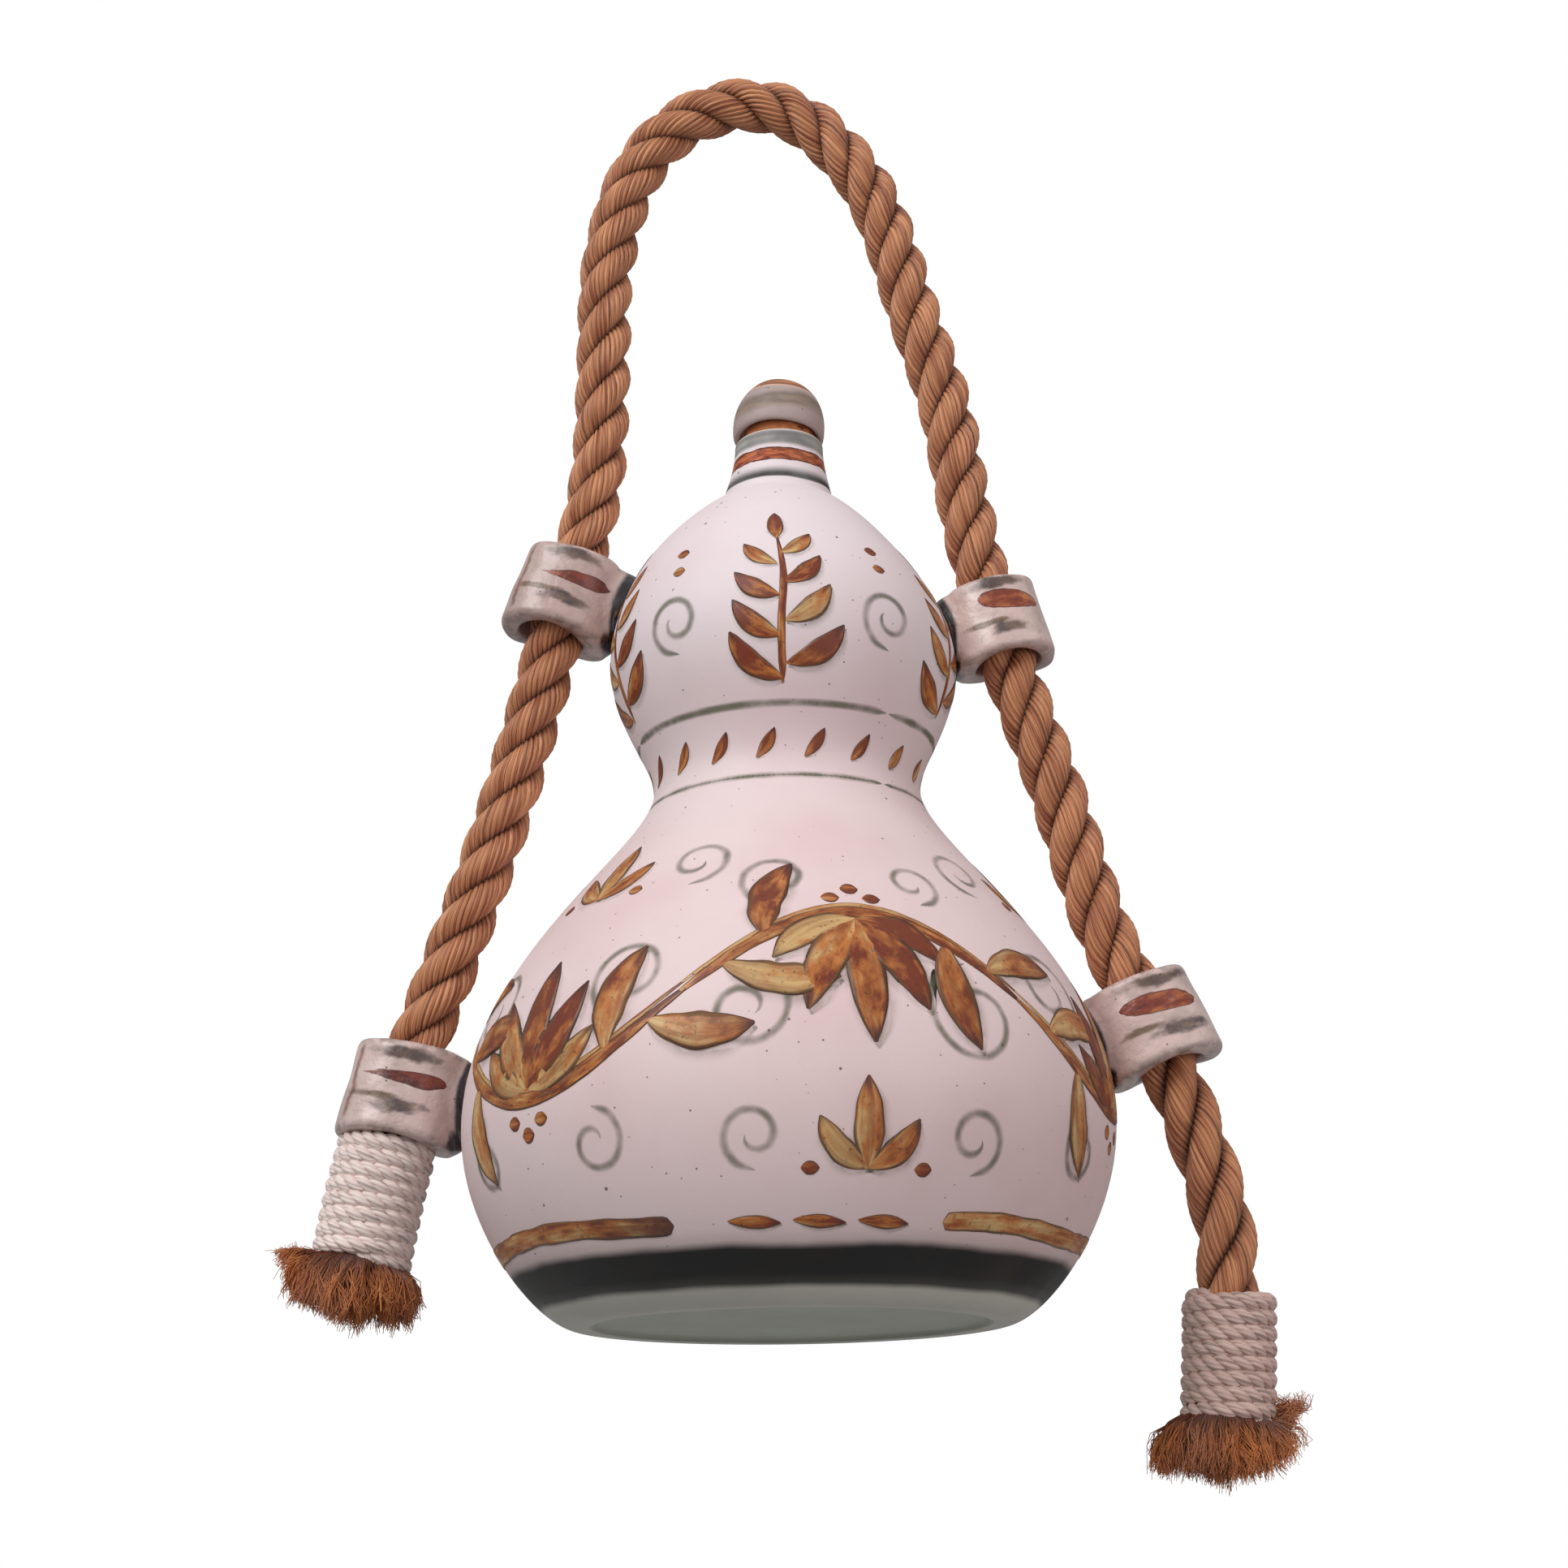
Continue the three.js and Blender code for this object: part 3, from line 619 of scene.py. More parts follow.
def body_finish():
    """Pinkish-white glaze with a dark foot band, a pale base and banded neck."""
    material, nodes, shader = new_finish("faience_glaze", {"IOR": GLAZE_IOR, "Specular IOR Level": 0.25})
    place = nodes.place()
    x, y, z = nodes.parts(place)
    height = z - FOOT_LEVEL
    radius = nodes.vector("LENGTH", nodes.combine(x, y, 0.0))
    # Painted reflection: the glaze is made paler and less pink towards the top, where more light falls on it
    upper = nodes.ease(height, 70 * MM, 190 * MM)
    pale = nodes.mix(upper, shade(232, 211, 211), shade(233, 221, 224))
    blush = nodes.mix(upper, shade(226, 199, 199), shade(230, 213, 216))
    base = ground(nodes, place, pale, blush, shade(70, 54, 52), 0.85)
    colour = base["Color"]
    drag = streaks(nodes, place * (60, 60, 900))
    waver = nodes.noise(place, 55) * (1.6 * MM) - 0.8 * MM
    wavy = height + waver
    # Soft halo above the foot band, then the band itself
    colour = nodes.mix(nodes.ease(wavy, *FOOT_HALO) * 0.35, colour, shade(112, 114, 100))
    thin = nodes.ease(nodes.noise(place, 60, 3), 0.45, 0.8)
    band = nodes.mix(thin, shade(9, 8, 8), shade(34, 29, 25))
    band = nodes.mix(nodes.ease(wavy, *FOOT_LOWER_EDGE) * 0.4, band, shade(84, 84, 76))
    colour = nodes.mix(nodes.ease(wavy, *FOOT_BAND), colour, band)
    # Pale base under the foot with a fine ring
    under = nodes.ease(waver * 0.8 + radius, *BASE_EDGE) * nodes.ease(height, *BASE_TOP)
    bare = nodes.mix(nodes.noise(place, 60, 3), shade(214, 210, 202), shade(194, 194, 184))
    inner = nodes.mix(nodes.noise(place, 45, 3), shade(186, 190, 178), shade(164, 168, 154))
    bare = nodes.mix(nodes.ease(radius, *BASE_INNER_EDGE), bare, inner)
    bare = nodes.mix(nodes.between(radius, *BASE_RING) * 0.55, bare, shade(110, 108, 100))
    colour = nodes.mix(under, colour, bare)
    # Neck: dark soft ring, red-brown band, grey-green band and a cream lip
    patchy = nodes.ease(nodes.noise(place, 110, 3), 0.35, 0.7)
    ring = nodes.ease(wavy, *NECK_RING_BELOW) * nodes.ease(wavy, *NECK_RING_ABOVE) * 0.96
    colour = nodes.mix(ring, colour, nodes.mix(patchy, shade(18, 20, 19), shade(84, 88, 82)))
    worn = nodes.noise(place * (260, 260, 1100), 1.0, 3, 0.6)
    ragged = (worn - 0.5) * (1.2 * MM) + wavy
    red = nodes.mix(nodes.ease(worn, 0.4, 0.62), shade(112, 40, 24), shade(196, 106, 66))
    red = nodes.mix(patchy * 0.5, red, shade(206, 138, 100))
    red = nodes.mix(nodes.between(ragged, *RED_BAND_MIDDLE), shade(84, 32, 22), red)
    colour = nodes.mix(nodes.between(ragged, *RED_BAND), colour, red)
    green = nodes.mix(drag, shade(118, 126, 120), shade(168, 168, 160))
    green = nodes.mix(patchy * 0.75, green, shade(62, 68, 66))
    colour = nodes.mix(nodes.between(wavy, *GREEN_BAND) * 0.85, colour, green)
    colour = nodes.mix(nodes.ease(height, *LIP_BAND) * 0.8, colour, shade(216, 203, 186))
    nodes.fill(shader, {"Base Color": colour, "Roughness": base["Roughness"],
                        "Normal": nodes.bump(base["Height"], 0.15 * MM, 0.35)})
    return material


def oxide_finish():
    """Thin ochre with red-brown pooled in the brush marks and dark at the edges and tips."""
    material, nodes, shader = new_finish("brushed_oxide", {"IOR": GLAZE_IOR, "Specular IOR Level": 0.4})
    along, across, tone, length = nodes.attributes("stroke_", "along", "across", "tone", "length")
    run = along * length
    own = tone * 91
    drawn = nodes.combine(run * 70, across * 3.0, own)
    mark = streaks(nodes, drawn)
    pooled = nodes.noise(nodes.combine(run * 130, across * 0.9, own), 1.0, 3, 0.6)
    grit = nodes.ease(nodes.noise(nodes.place(), 900), 0.62, 0.72)
    warm = (pooled - 0.5) * 2.4 + ((along - 0.45) * 0.35 + tone)
    colour = nodes.mix(nodes.ease(warm, -0.1, 0.5), shade(214, 178, 120), shade(190, 116, 54))
    colour = nodes.mix(nodes.ease(warm, 0.4, 0.85), colour, shade(116, 46, 24))
    colour = nodes.mix(mark * 0.6, colour, shade(120, 60, 30))
    colour = nodes.mix(grit * 0.6, colour, shade(84, 34, 22))
    ragged = nodes.noise(drawn, 1.7, 3) * 0.4 + (abs(across) - 0.2)
    edge = nodes.mix(nodes.ease(pooled, 0.35, 0.65), shade(64, 32, 30), shade(112, 84, 50))
    colour = nodes.mix(nodes.ease(ragged, 0.68, 0.86) * 0.85, colour, edge)
    tip = nodes.ease(pooled * 0.2 + along, 0.88, 1.1)
    colour = nodes.mix(tip * 0.8, colour, shade(56, 30, 30))
    nodes.fill(shader, {"Base Color": colour, "Roughness": mark * 0.15 + 0.4,
                        "Alpha": nodes.ease(ragged, 1.04, 0.88)})
    return material


def wash_finish():
    """Thin grey-green wash that sank into the glaze."""
    material, nodes, shader = new_finish("sunken_wash", {"IOR": GLAZE_IOR, "Specular IOR Level": 0.35})
    across, density = nodes.attributes("stroke_", "across", "tone")
    cloud = nodes.noise(nodes.place(), 160, 3)
    body = density * (nodes.ease(cloud, 0.3, 0.7) * 0.6 + 0.3)
    nodes.fill(shader, {"Base Color": nodes.mix(cloud, shade(96, 98, 80), shade(140, 140, 120)),
                        "Roughness": cloud * 0.15 + 0.5,
                        "Alpha": nodes.ease(abs(across), 1.0, 0.0) * body})
    return material


def lug_finish():
    """Greyer glaze with a red-brown stroke between dark smears, and a black luted joint."""
    material, nodes, shader = new_finish("lug_glaze", {"IOR": GLAZE_IOR, "Coat Roughness": 0.2})
    place = nodes.place()
    around, rise, outer, turn, joint = nodes.attributes("lug_", "around", "rise", "outer", "turn", "joint")
    seed, blunt, start, end = nodes.attributes("lug_", "seed", "blunt", "stroke_start", "stroke_end")
    front = nodes.ease(turn, 0.02, 0.12)
    rim = nodes.ease(abs(rise), 0.72, 0.98)
    base = ground(nodes, place, shade(214, 190, 184), shade(188, 162, 156), shade(52, 40, 40),
                  rim * 0.45 + 0.5)
    # Painted light: the right lugs are made a little paler, standing in for the brighter reflection on that
    # side
    colour = nodes.mix(blunt * 0.1, base["Color"], shade(236, 210, 204))
    # Thin glaze over the rims and a soiled bloom show the darker clay
    soil = nodes.ease(nodes.noise(place, 170, 4, 0.6), 0.42, 0.72)
    colour = nodes.mix(soil * 0.4, colour, shade(142, 124, 116))
    worn = rim * nodes.ease(nodes.noise(place, 330, 3, 0.6), 0.42, 0.62)
    colour = nodes.mix(worn * 0.6, colour, shade(104, 88, 82))
    mark = streaks(nodes, nodes.combine(around * 1.6, rise * 9, seed))
    # Smears above and below the stroke: across, up, length, thickness, tint
    smears = ((0.12, 0.72, 0.62, 0.15, shade(58, 40, 36)), (-0.32, -0.17, 0.52, 0.1, shade(104, 80, 54)),
              (0.22, -0.36, 0.5, 0.18, shade(50, 36, 44)))
    drift = nodes.noise(nodes.combine(seed, 3.0, 0.0), 1.0, 0) - 0.5
    for across, up, length, thick, tint in smears:
        blotch = nodes.noise(nodes.combine(around * 2.4, rise * 3.4, seed + 3 * up), 1.0, 3)
        aside = (drift * 0.6 + (around - across)) / length
        far = nodes.vector("LENGTH", nodes.combine(aside, (rise - up) / thick, 0.0))
        smear = nodes.ease((blotch - 0.5) * 1.8 + far, 1.15, 0.45) * 0.9 * front
        tint = nodes.mix(nodes.ease(blotch, 0.35, 0.7), tint, shade(112, 88, 68))
        colour = nodes.mix(smear, colour, tint)
    # Stroke, pointed at its left end on the left lugs and blunt at both ends on the right ones
    along = nodes.math("MINIMUM", nodes.math("MAXIMUM", (around - start) / (end - start), 0.0), 1.0)
    pointed = along ** 0.9 * nodes.math("SQRT", 1.0 - along ** 7.0)
    bow = along * (1.0 - along) * 4.0
    swell = nodes.fade(blunt, pointed, bow ** 0.42)
    level = drift * 0.2 + (blunt * 0.08 + 0.22) - around * blunt * 0.15
    inside = swell * (0.28 - blunt * 0.02) - 0.04 - abs(rise - level)
    frayed = (mark - 0.5) * 0.05 + inside
    stroke = nodes.ease(frayed, -0.012, 0.012) * front
    pool = nodes.noise(nodes.combine(around * 2.6, rise * 5.0, seed), 1.0, 3, 0.6)
    deep = (pool - 0.5) * 2.2 + nodes.fade(blunt, nodes.ease(along, 0.05, 0.6), 0.6)
    red = nodes.mix(nodes.ease(deep, 0.1, 0.75), shade(198, 122, 70), shade(122, 44, 27))
    red = nodes.mix(nodes.ease(deep, 0.7, 1.2), red, shade(78, 26, 22))
    red = nodes.mix(mark * 0.3, red, shade(150, 68, 36))
    red = nodes.mix(nodes.ease(frayed, 0.05, 0.0) * 0.85, red, shade(66, 26, 22))
    colour = nodes.mix(stroke, colour, red)
    # Brown line down the outer side of the left lugs
    waver = nodes.noise(nodes.combine(rise, seed, 0.0), 2.5) * 0.3 + turn
    line = nodes.between(waver, 0.84, 0.95, 0.05) * nodes.between(rise, -0.7, 0.8, 0.12)
    line = line * (0.8 - blunt * 0.8)
    colour = nodes.mix(line, colour, nodes.mix(mark, shade(96, 44, 36), shade(150, 96, 78)))
    # Black glaze in the joint with light craze lines
    craze = nodes.noise(nodes.combine(joint * 7, rise * 1.6, seed), 1.0, 3, 0.6)
    black = nodes.mix(nodes.ease(craze, 0.56, 0.7), shade(24, 22, 28), shade(112, 106, 110))
    uneven = nodes.noise(place, 260) * 0.14 - 0.07
    inner = nodes.ease(uneven - outer, 0.99, 1.05)
    root = nodes.ease(joint + uneven, 0.12, 0.3)
    colour = nodes.mix(nodes.math("MAXIMUM", inner, root), colour, black)
    lumps = nodes.noise(place, 300, 3) * 1.4
    nodes.fill(shader, {"Base Color": colour, "Roughness": base["Roughness"] * 0.7,
                        "Coat Weight": nodes.ease(joint, 0.02, 0.2) * 0.4 + 0.3,
                        "Normal": nodes.bump(base["Height"] + lumps, 0.35 * MM, 0.85)})
    return material


def knob_finish():
    """Pale glaze with a smudged band and a brown painted crown."""
    material, nodes, shader = new_finish("knob_glaze", {"IOR": GLAZE_IOR})
    place = nodes.place()
    x, y, z = nodes.parts(place)
    above = z - (FOOT_LEVEL + LIP_HEIGHT)
    base = ground(nodes, place, shade(180, 162, 158), shade(156, 138, 134), shade(70, 58, 56), 0.6)
    drag = streaks(nodes, place * (90, 90, 700))
    waver = nodes.noise(place, 90) * (3 * MM) - 1.5 * MM
    smudge = nodes.between(above + waver, *KNOB_SMUDGE) * nodes.ease(nodes.noise(place, 130, 3), 0.1, 0.5)
    smudged = nodes.mix(drag, shade(92, 80, 68), shade(142, 122, 100))
    colour = nodes.mix(smudge * 0.75, base["Color"], smudged)
    edge = waver * 0.2 + (above + x * 0.08 - y * 0.02)
    colour = nodes.mix(nodes.between(edge, *KNOB_PALE_RIM) * 0.7, colour, shade(226, 176, 148))
    brown = nodes.mix(drag, shade(128, 74, 44), shade(190, 132, 90))
    colour = nodes.mix(nodes.ease(edge, *KNOB_BROWN_CROWN), colour, brown)
    nodes.fill(shader, {"Base Color": colour, "Roughness": base["Roughness"],
                        "Normal": nodes.bump(base["Height"], 0.2 * MM, 0.45)})
    return material


def cork_finish():
    """Orange-brown cork with dark lenticels and crumbled grain."""
    material, nodes, shader = new_finish("cork", {"IOR": 1.4, "Specular IOR Level": 0.3})
    place = nodes.place()
    grain = nodes.noise(place, 700, 3, 0.6)
    pits = nodes.ease(nodes.noise(place * (260, 260, 620), 1.0, 3), 0.58, 0.68)
    colour = nodes.mix(grain, shade(150, 78, 42), shade(204, 128, 82))
    colour = nodes.mix(nodes.cells(place, 620)["Distance"] * 0.35, colour, shade(224, 158, 112))
    colour = nodes.mix(pits * 0.85, colour, shade(60, 28, 18))
    nodes.fill(shader, {"Base Color": colour, "Roughness": grain * 0.2 + 0.7,
                        "Normal": nodes.bump(grain - pits * 1.5, 0.3 * MM, 0.6)})
    return material


# The dark colour is the painted shade of the grooves and crevices, and the light one also gives the painted
# highlight on the crowns
def laid_finish(name, dark, middle, light, yarns, length, sheen):
    """Finish of a laid rope or cord."""
    constants = {"IOR": FIBRE_IOR, "Sheen Weight": sheen, "Sheen Roughness": 0.4, "Specular IOR Level": 0.42}
    material, nodes, shader = new_finish(name, constants)
    inputs = {"Crevice Shade": dark, "Middle": middle, "Light": light, "Yarns": yarns, "Length": length}
    laid = nodes.outputs("ShaderNodeGroup", inputs, node_tree=LAID_FIBRE)
    nodes.fill(shader, {"Base Color": laid["Color"],
                        "Roughness": nodes.noise(nodes.place(), 400) * 0.25 + 0.36,
                        "Normal": nodes.bump(laid["Height"], 0.18 * MM, 0.8)})
    return material


def fibre_finish():
    """Loose rope fibres, with painted shade darkening them towards their roots."""
    constants = {"IOR": FIBRE_IOR, "Sheen Weight": 0.3, "Specular IOR Level": 0.3}
    material, nodes, shader = new_finish("loose_fibre", constants)
    reach, tone = nodes.attributes("fibre_", "reach", "tone")
    pale = nodes.mix(tone, shade(172, 86, 40), shade(220, 144, 82))
    # Painted shade: the fibres darken towards their roots, and the core, which carries no reach, takes the
    # darkest colour
    nodes.fill(shader, {"Base Color": nodes.mix(nodes.ease(reach, 0.1, 0.8), shade(100, 46, 22), pale),
                        "Roughness": tone * 0.2 + 0.55})
    return material


def floor_finish():
    material, nodes, shader = new_finish("pale_floor", {"Roughness": 0.8})
    mottle = nodes.noise(nodes.place(), 3, 3)
    nodes.fill(shader, {"Base Color": nodes.mix(mottle, shade(238, 238, 237), shade(244, 244, 243))})
    return material


BODY_GLAZE = body_finish()
OXIDE = oxide_finish()
WASH = wash_finish()
LUG_GLAZE = lug_finish()
KNOB_GLAZE = knob_finish()
CORK = cork_finish()
ROPE = laid_finish("golden_rope", shade(46, 19, 11), shade(136, 70, 42), shade(222, 157, 112),
                   STRAND_YARNS, 14 * MM, 0.2)
# The right whipping is wound with a darker copy of the cotton
DARKER_COTTON = laid_finish("darker_cotton", shade(154, 124, 113), shade(196, 166, 155),
                            shade(222, 196, 186), WHIPPING_YARNS, 4 * MM, 0.15)
COTTON = laid_finish("whipping_cotton", shade(198, 171, 162), shade(232, 210, 203),
                     shade(250, 237, 230), WHIPPING_YARNS, 4 * MM, 0.15)
FIBRE = fibre_finish()


# Camera, light and floor

def add_object(name, data):
    made = bpy.data.objects.new(name, data)
    bpy.context.scene.collection.objects.link(made)
    return made


def set_stage():
    scene = bpy.context.scene
    scene.view_settings.view_transform = "Standard"
    camera = add_object("camera", bpy.data.cameras.new("camera"))
    camera.data.lens = CAMERA_LENS
    camera.data.sensor_width = CAMERA_SENSOR
    turn = Matrix.Rotation(math.pi / 2 + CAMERA_PITCH, 4, "X") @ Matrix.Rotation(CAMERA_ROLL, 4, "Z")
    place = Matrix.Translation((0, -CAMERA_DISTANCE, FOOT_LEVEL - CAMERA_BELOW_FOOT))
    camera.matrix_world = place @ turn
    scene.camera = camera

    world = bpy.data.worlds.new("studio")
    world.use_nodes = True
    nodes = Nodes(world.node_tree)
    seen = nodes.take("ShaderNodeLightPath", output="Is Camera Ray")
    upwards = nodes.parts(nodes.take("ShaderNodeTexCoord", output="Generated"))[2]
    sky = nodes.ease(upwards, -1.0, 1.0) * (SKY_LIGHT - GROUND_LIGHT) + GROUND_LIGHT
    nodes.fill(world.node_tree.nodes["Background"].inputs,
               {"Color": (1, 1, 1, 1), "Strength": nodes.math("MAXIMUM", seen, sky)})
    scene.world = world

    for name, spot, size, power, colour in LIGHTS:
        light = bpy.data.lights.new(name, "AREA")
        light.shape = "DISK"
        light.size = size
        light.energy = power
        light.color = colour
        aim = Vector((0, 0, FOOT_LEVEL + WAIST_HEIGHT)) - Vector(spot)
        turn = aim.to_track_quat("-Z", "Y").to_matrix().to_4x4()
        add_object(name, light).matrix_world = Matrix.Translation(spot) @ turn

    half = FLOOR_SIZE / 2
    corners = [(x * half, y * half, FLOOR_LEVEL) for x, y in ((-1, -1), (1, -1), (1, 1), (-1, 1))]
    sheet = bpy.data.meshes.new("floor")
    sheet.from_pydata(corners, [], [(0, 1, 2, 3)])
    sheet.materials.append(floor_finish())
    floor = add_object("floor", sheet)
    floor.visible_diffuse = False


set_stage()


# Geometry Nodes

def piece_from_tree(name, tree, base, values):
    """Runs a tree over a base mesh and keeps its result as a plain mesh piece."""
    maker = add_object(name + "_maker", base)
    modifier = maker.modifiers.new("make", "NODES")
    modifier.node_group = tree
    for item in tree.interface.items_tree:
        if item.in_out == "INPUT" and item.name in values:
            modifier[item.identifier] = values[item.name]
    evaluated = maker.evaluated_get(bpy.context.evaluated_depsgraph_get())
    made = bpy.data.meshes.new_from_object(evaluated)
    bpy.data.objects.remove(maker)
    made.name = name
    return add_object(name, made)


def line_mesh(name, lines, attributes=None):
    """Mesh of open lines, with values at their points."""
    points = [point for line in lines for point in line]
    edges = []
    start = 0
    for line in lines:
        edges += [(start + i, start + i + 1) for i in range(len(line) - 1)]
        start += len(line)
    mesh = bpy.data.meshes.new(name)
    mesh.from_pydata(points, edges, [])
    for label, values in (attributes or {}).items():
        if isinstance(values[0], Vector):
            flat = [part for value in values for part in value]
            mesh.attributes.new(label, "FLOAT_VECTOR", "POINT").data.foreach_set("vector", flat)
        else:
            mesh.attributes.new(label, "FLOAT", "POINT").data.foreach_set("value", values)
    return mesh


def laid_rope_tree():
    """Strands laid round a route, each of yarns turned back against the lay."""
    nodes, given, out = new_group(
        "laid_rope", "GeometryNodeTree",
        {"Route": SHAPE, "Strands": COUNT, "Rope Radius": NUMBER, "Strand Radius": NUMBER,
         "Lay Length": NUMBER, "Yarns": COUNT, "Yarn Depth": NUMBER, "Yarn Turn": NUMBER, "Step": NUMBER,
         "Sides": COUNT, "Material": FINISH},
        {"Rope": SHAPE})
    position = nodes.position()
    spline = nodes.outputs("GeometryNodeSplineParameter")
    curve = nodes.take("GeometryNodeMeshToCurve", {"Mesh": given["Route"]})
    curve = nodes.take("GeometryNodeResampleCurve", {"Curve": curve, "Length": given["Step"]}, mode="LENGTH")
    copies = nodes.outputs("GeometryNodeDuplicateElements",
                           {"Geometry": curve, "Amount": given["Strands"]}, domain="SPLINE")
    strands, kept = nodes.capture(
        copies["Geometry"],
        {"along": spline["Length"], "axis": position, "strand": copies["Duplicate Index"]})
    phase = (kept["strand"] / given["Strands"] + kept["along"] / given["Lay Length"]) * FULL_TURN
    tangent = nodes.take("GeometryNodeInputTangent")
    normal = nodes.take("GeometryNodeInputNormal")
    reach = given["Rope Radius"] - given["Strand Radius"]
    first = normal * (nodes.math("COSINE", phase) * reach)
    second = nodes.vector("CROSS_PRODUCT", tangent, normal) * (nodes.math("SINE", phase) * reach)
    strands = nodes.moved(strands, Offset=first + second)
    strands = nodes.take("GeometryNodeSetCurveTilt",
                         {"Curve": strands, "Tilt": kept["along"] * given["Yarn Turn"]})
    ring = nodes.take("GeometryNodeCurvePrimitiveCircle",
                      {"Resolution": given["Sides"], "Radius": given["Strand Radius"]})
    ring, kept_round = nodes.capture(ring, {"around": spline["Factor"]})
    ridge = abs(nodes.math("SINE", kept_round["around"] * (given["Yarns"] * math.pi)))
    dip = (1.0 - ridge) ** 2.0 * given["Yarn Depth"]
    ring = nodes.moved(ring, Position=position * (1.0 - dip))
    mesh = nodes.take("GeometryNodeCurveToMesh",
                      {"Curve": strands, "Profile Curve": ring, "Fill Caps": True})
    outwards = nodes.vector("DISTANCE", position, kept["axis"]) / given["Rope Radius"]
    mesh = nodes.store(mesh, {"lay_along": kept["along"], "lay_around": kept_round["around"],
                              "lay_strand": kept["strand"], "lay_outwards": outwards})
    return nodes.complete(mesh, given["Material"], out["Rope"])


def frayed_fibre_tree():
    """Brush of loose fibres that opens downwards from a round root, in uneven tufts."""
    nodes, given, out = new_group(
        "frayed_fibres", "GeometryNodeTree",
        {"Start": SHAPE, "Fibres": COUNT, "Root Radius": NUMBER, "Length": NUMBER, "Flare": NUMBER,
         "Curl": NUMBER, "Lean": VECTOR, "Fibre Radius": NUMBER, "Seed": COUNT, "Material": FINISH},
        {"Brush": SHAPE})

    def chance(step):
        return nodes.take("FunctionNodeRandomValue", {"Seed": given["Seed"] + step}, 1)

    radius = nodes.math("SQRT", chance(1)) * given["Root Radius"]
    turn = chance(2) * FULL_TURN
    spot = nodes.combine(radius * nodes.math("COSINE", turn), radius * nodes.math("SINE", turn), 0.0)
    roots = nodes.take("GeometryNodePoints", {"Count": given["Fibres"], "Position": spot})
    roots = nodes.store(roots, {"root": nodes.position(), "fibre_tone": chance(3), "cut": chance(4)})
    line = nodes.take("GeometryNodeCurvePrimitiveLine", {"End": (0.0, 0.0, -1.0)})
    line = nodes.take("GeometryNodeResampleCurve", {"Curve": line, "Count": FIBRE_POINTS})
    fibres = nodes.take("GeometryNodeInstanceOnPoints", {"Points": roots, "Instance": line})
    fibres = nodes.take("GeometryNodeRealizeInstances", {"Geometry": fibres})

    # Fibres gather into locks, each with its own length and wildness
    root = nodes.named("root", "FLOAT_VECTOR")
    cut = nodes.named("cut")
    reach = nodes.take("GeometryNodeSplineParameter", output="Factor")
    shifted = root + given["Seed"] * 0.37 * (1.0, 0.7, 0.0)
    locks = nodes.cells(shifted, FIBRE_LOCKS_PER_METRE)
    wildness, lock_cut, _ = nodes.parts(locks["Color"])
    gathered = root + (locks["Position"] - shifted) * (reach * 0.15)
    outwards = nodes.vector("NORMALIZE", gathered)
    share = nodes.vector("LENGTH", gathered) / given["Root Radius"]
    size = given["Length"] * (cut * 0.3 + (lock_cut * 0.3 + 0.65))
    # Fibres on the leaning side stand up, each by its own amount
    facing = nodes.math("MAXIMUM", nodes.vector("DOT_PRODUCT", outwards, given["Lean"]), 0.0)
    lift = facing ** 7.0 * nodes.ease(cut, 0.1, 0.65)
    # Fibres at the rim spring outwards and droop, those in the middle hang straight
    splay = lift * 0.22 + given["Flare"] * share * (wildness * 0.4 + 0.8)
    rest = 1.0 - reach
    sideways = outwards * (size * splay * (1.0 - rest * rest))
    fall = size * (1.0 - share * 0.2 - lift * 0.9) * reach ** 1.2
    stir = root * 900.0 + reach * 2.6 * (1.0, 0.6, 0.3)
    wild = nodes.take("ShaderNodeTexNoise", {"Vector": stir, "Scale": 1.0, "Detail": 3.0}, "Color")
    curl = (wild - (0.5, 0.5, 0.5)) * (given["Curl"] * reach)
    fibres, kept = nodes.capture(fibres, {"reach": reach})
    fibres = nodes.moved(fibres, Position=gathered + sideways + (fall * (0.0, 0.0, -1.0) + curl))
    section = nodes.take("GeometryNodeCurvePrimitiveCircle",
                         {"Resolution": FIBRE_SIDES, "Radius": given["Fibre Radius"]})
    mesh = nodes.take("GeometryNodeCurveToMesh",
                      {"Curve": fibres, "Profile Curve": section, "Scale": 1.0 - kept["reach"] * 0.55,
                       "Fill Caps": True})
    # The core carries no reach, so its finish paints it in the dark root colour, as shade inside the brush
    core = nodes.take("GeometryNodeMeshUVSphere",
                      {"Segments": CORE_SEGMENTS, "Rings": CORE_RINGS, "Radius": 1.0})
    core_size = nodes.combine(given["Root Radius"], given["Root Radius"],
                              given["Length"] * CORE_LENGTH_SHARE)
    core = nodes.take("GeometryNodeTransform", {"Geometry": core, "Scale": core_size})
    both = nodes.add("GeometryNodeJoinGeometry")
    for part in (core, mesh):
        nodes.join(part, both.inputs[0])
    mesh = nodes.store(Value(nodes, both.outputs[0]), {"fibre_reach": kept["reach"]})
    return nodes.complete(mesh, given["Material"], out["Brush"])


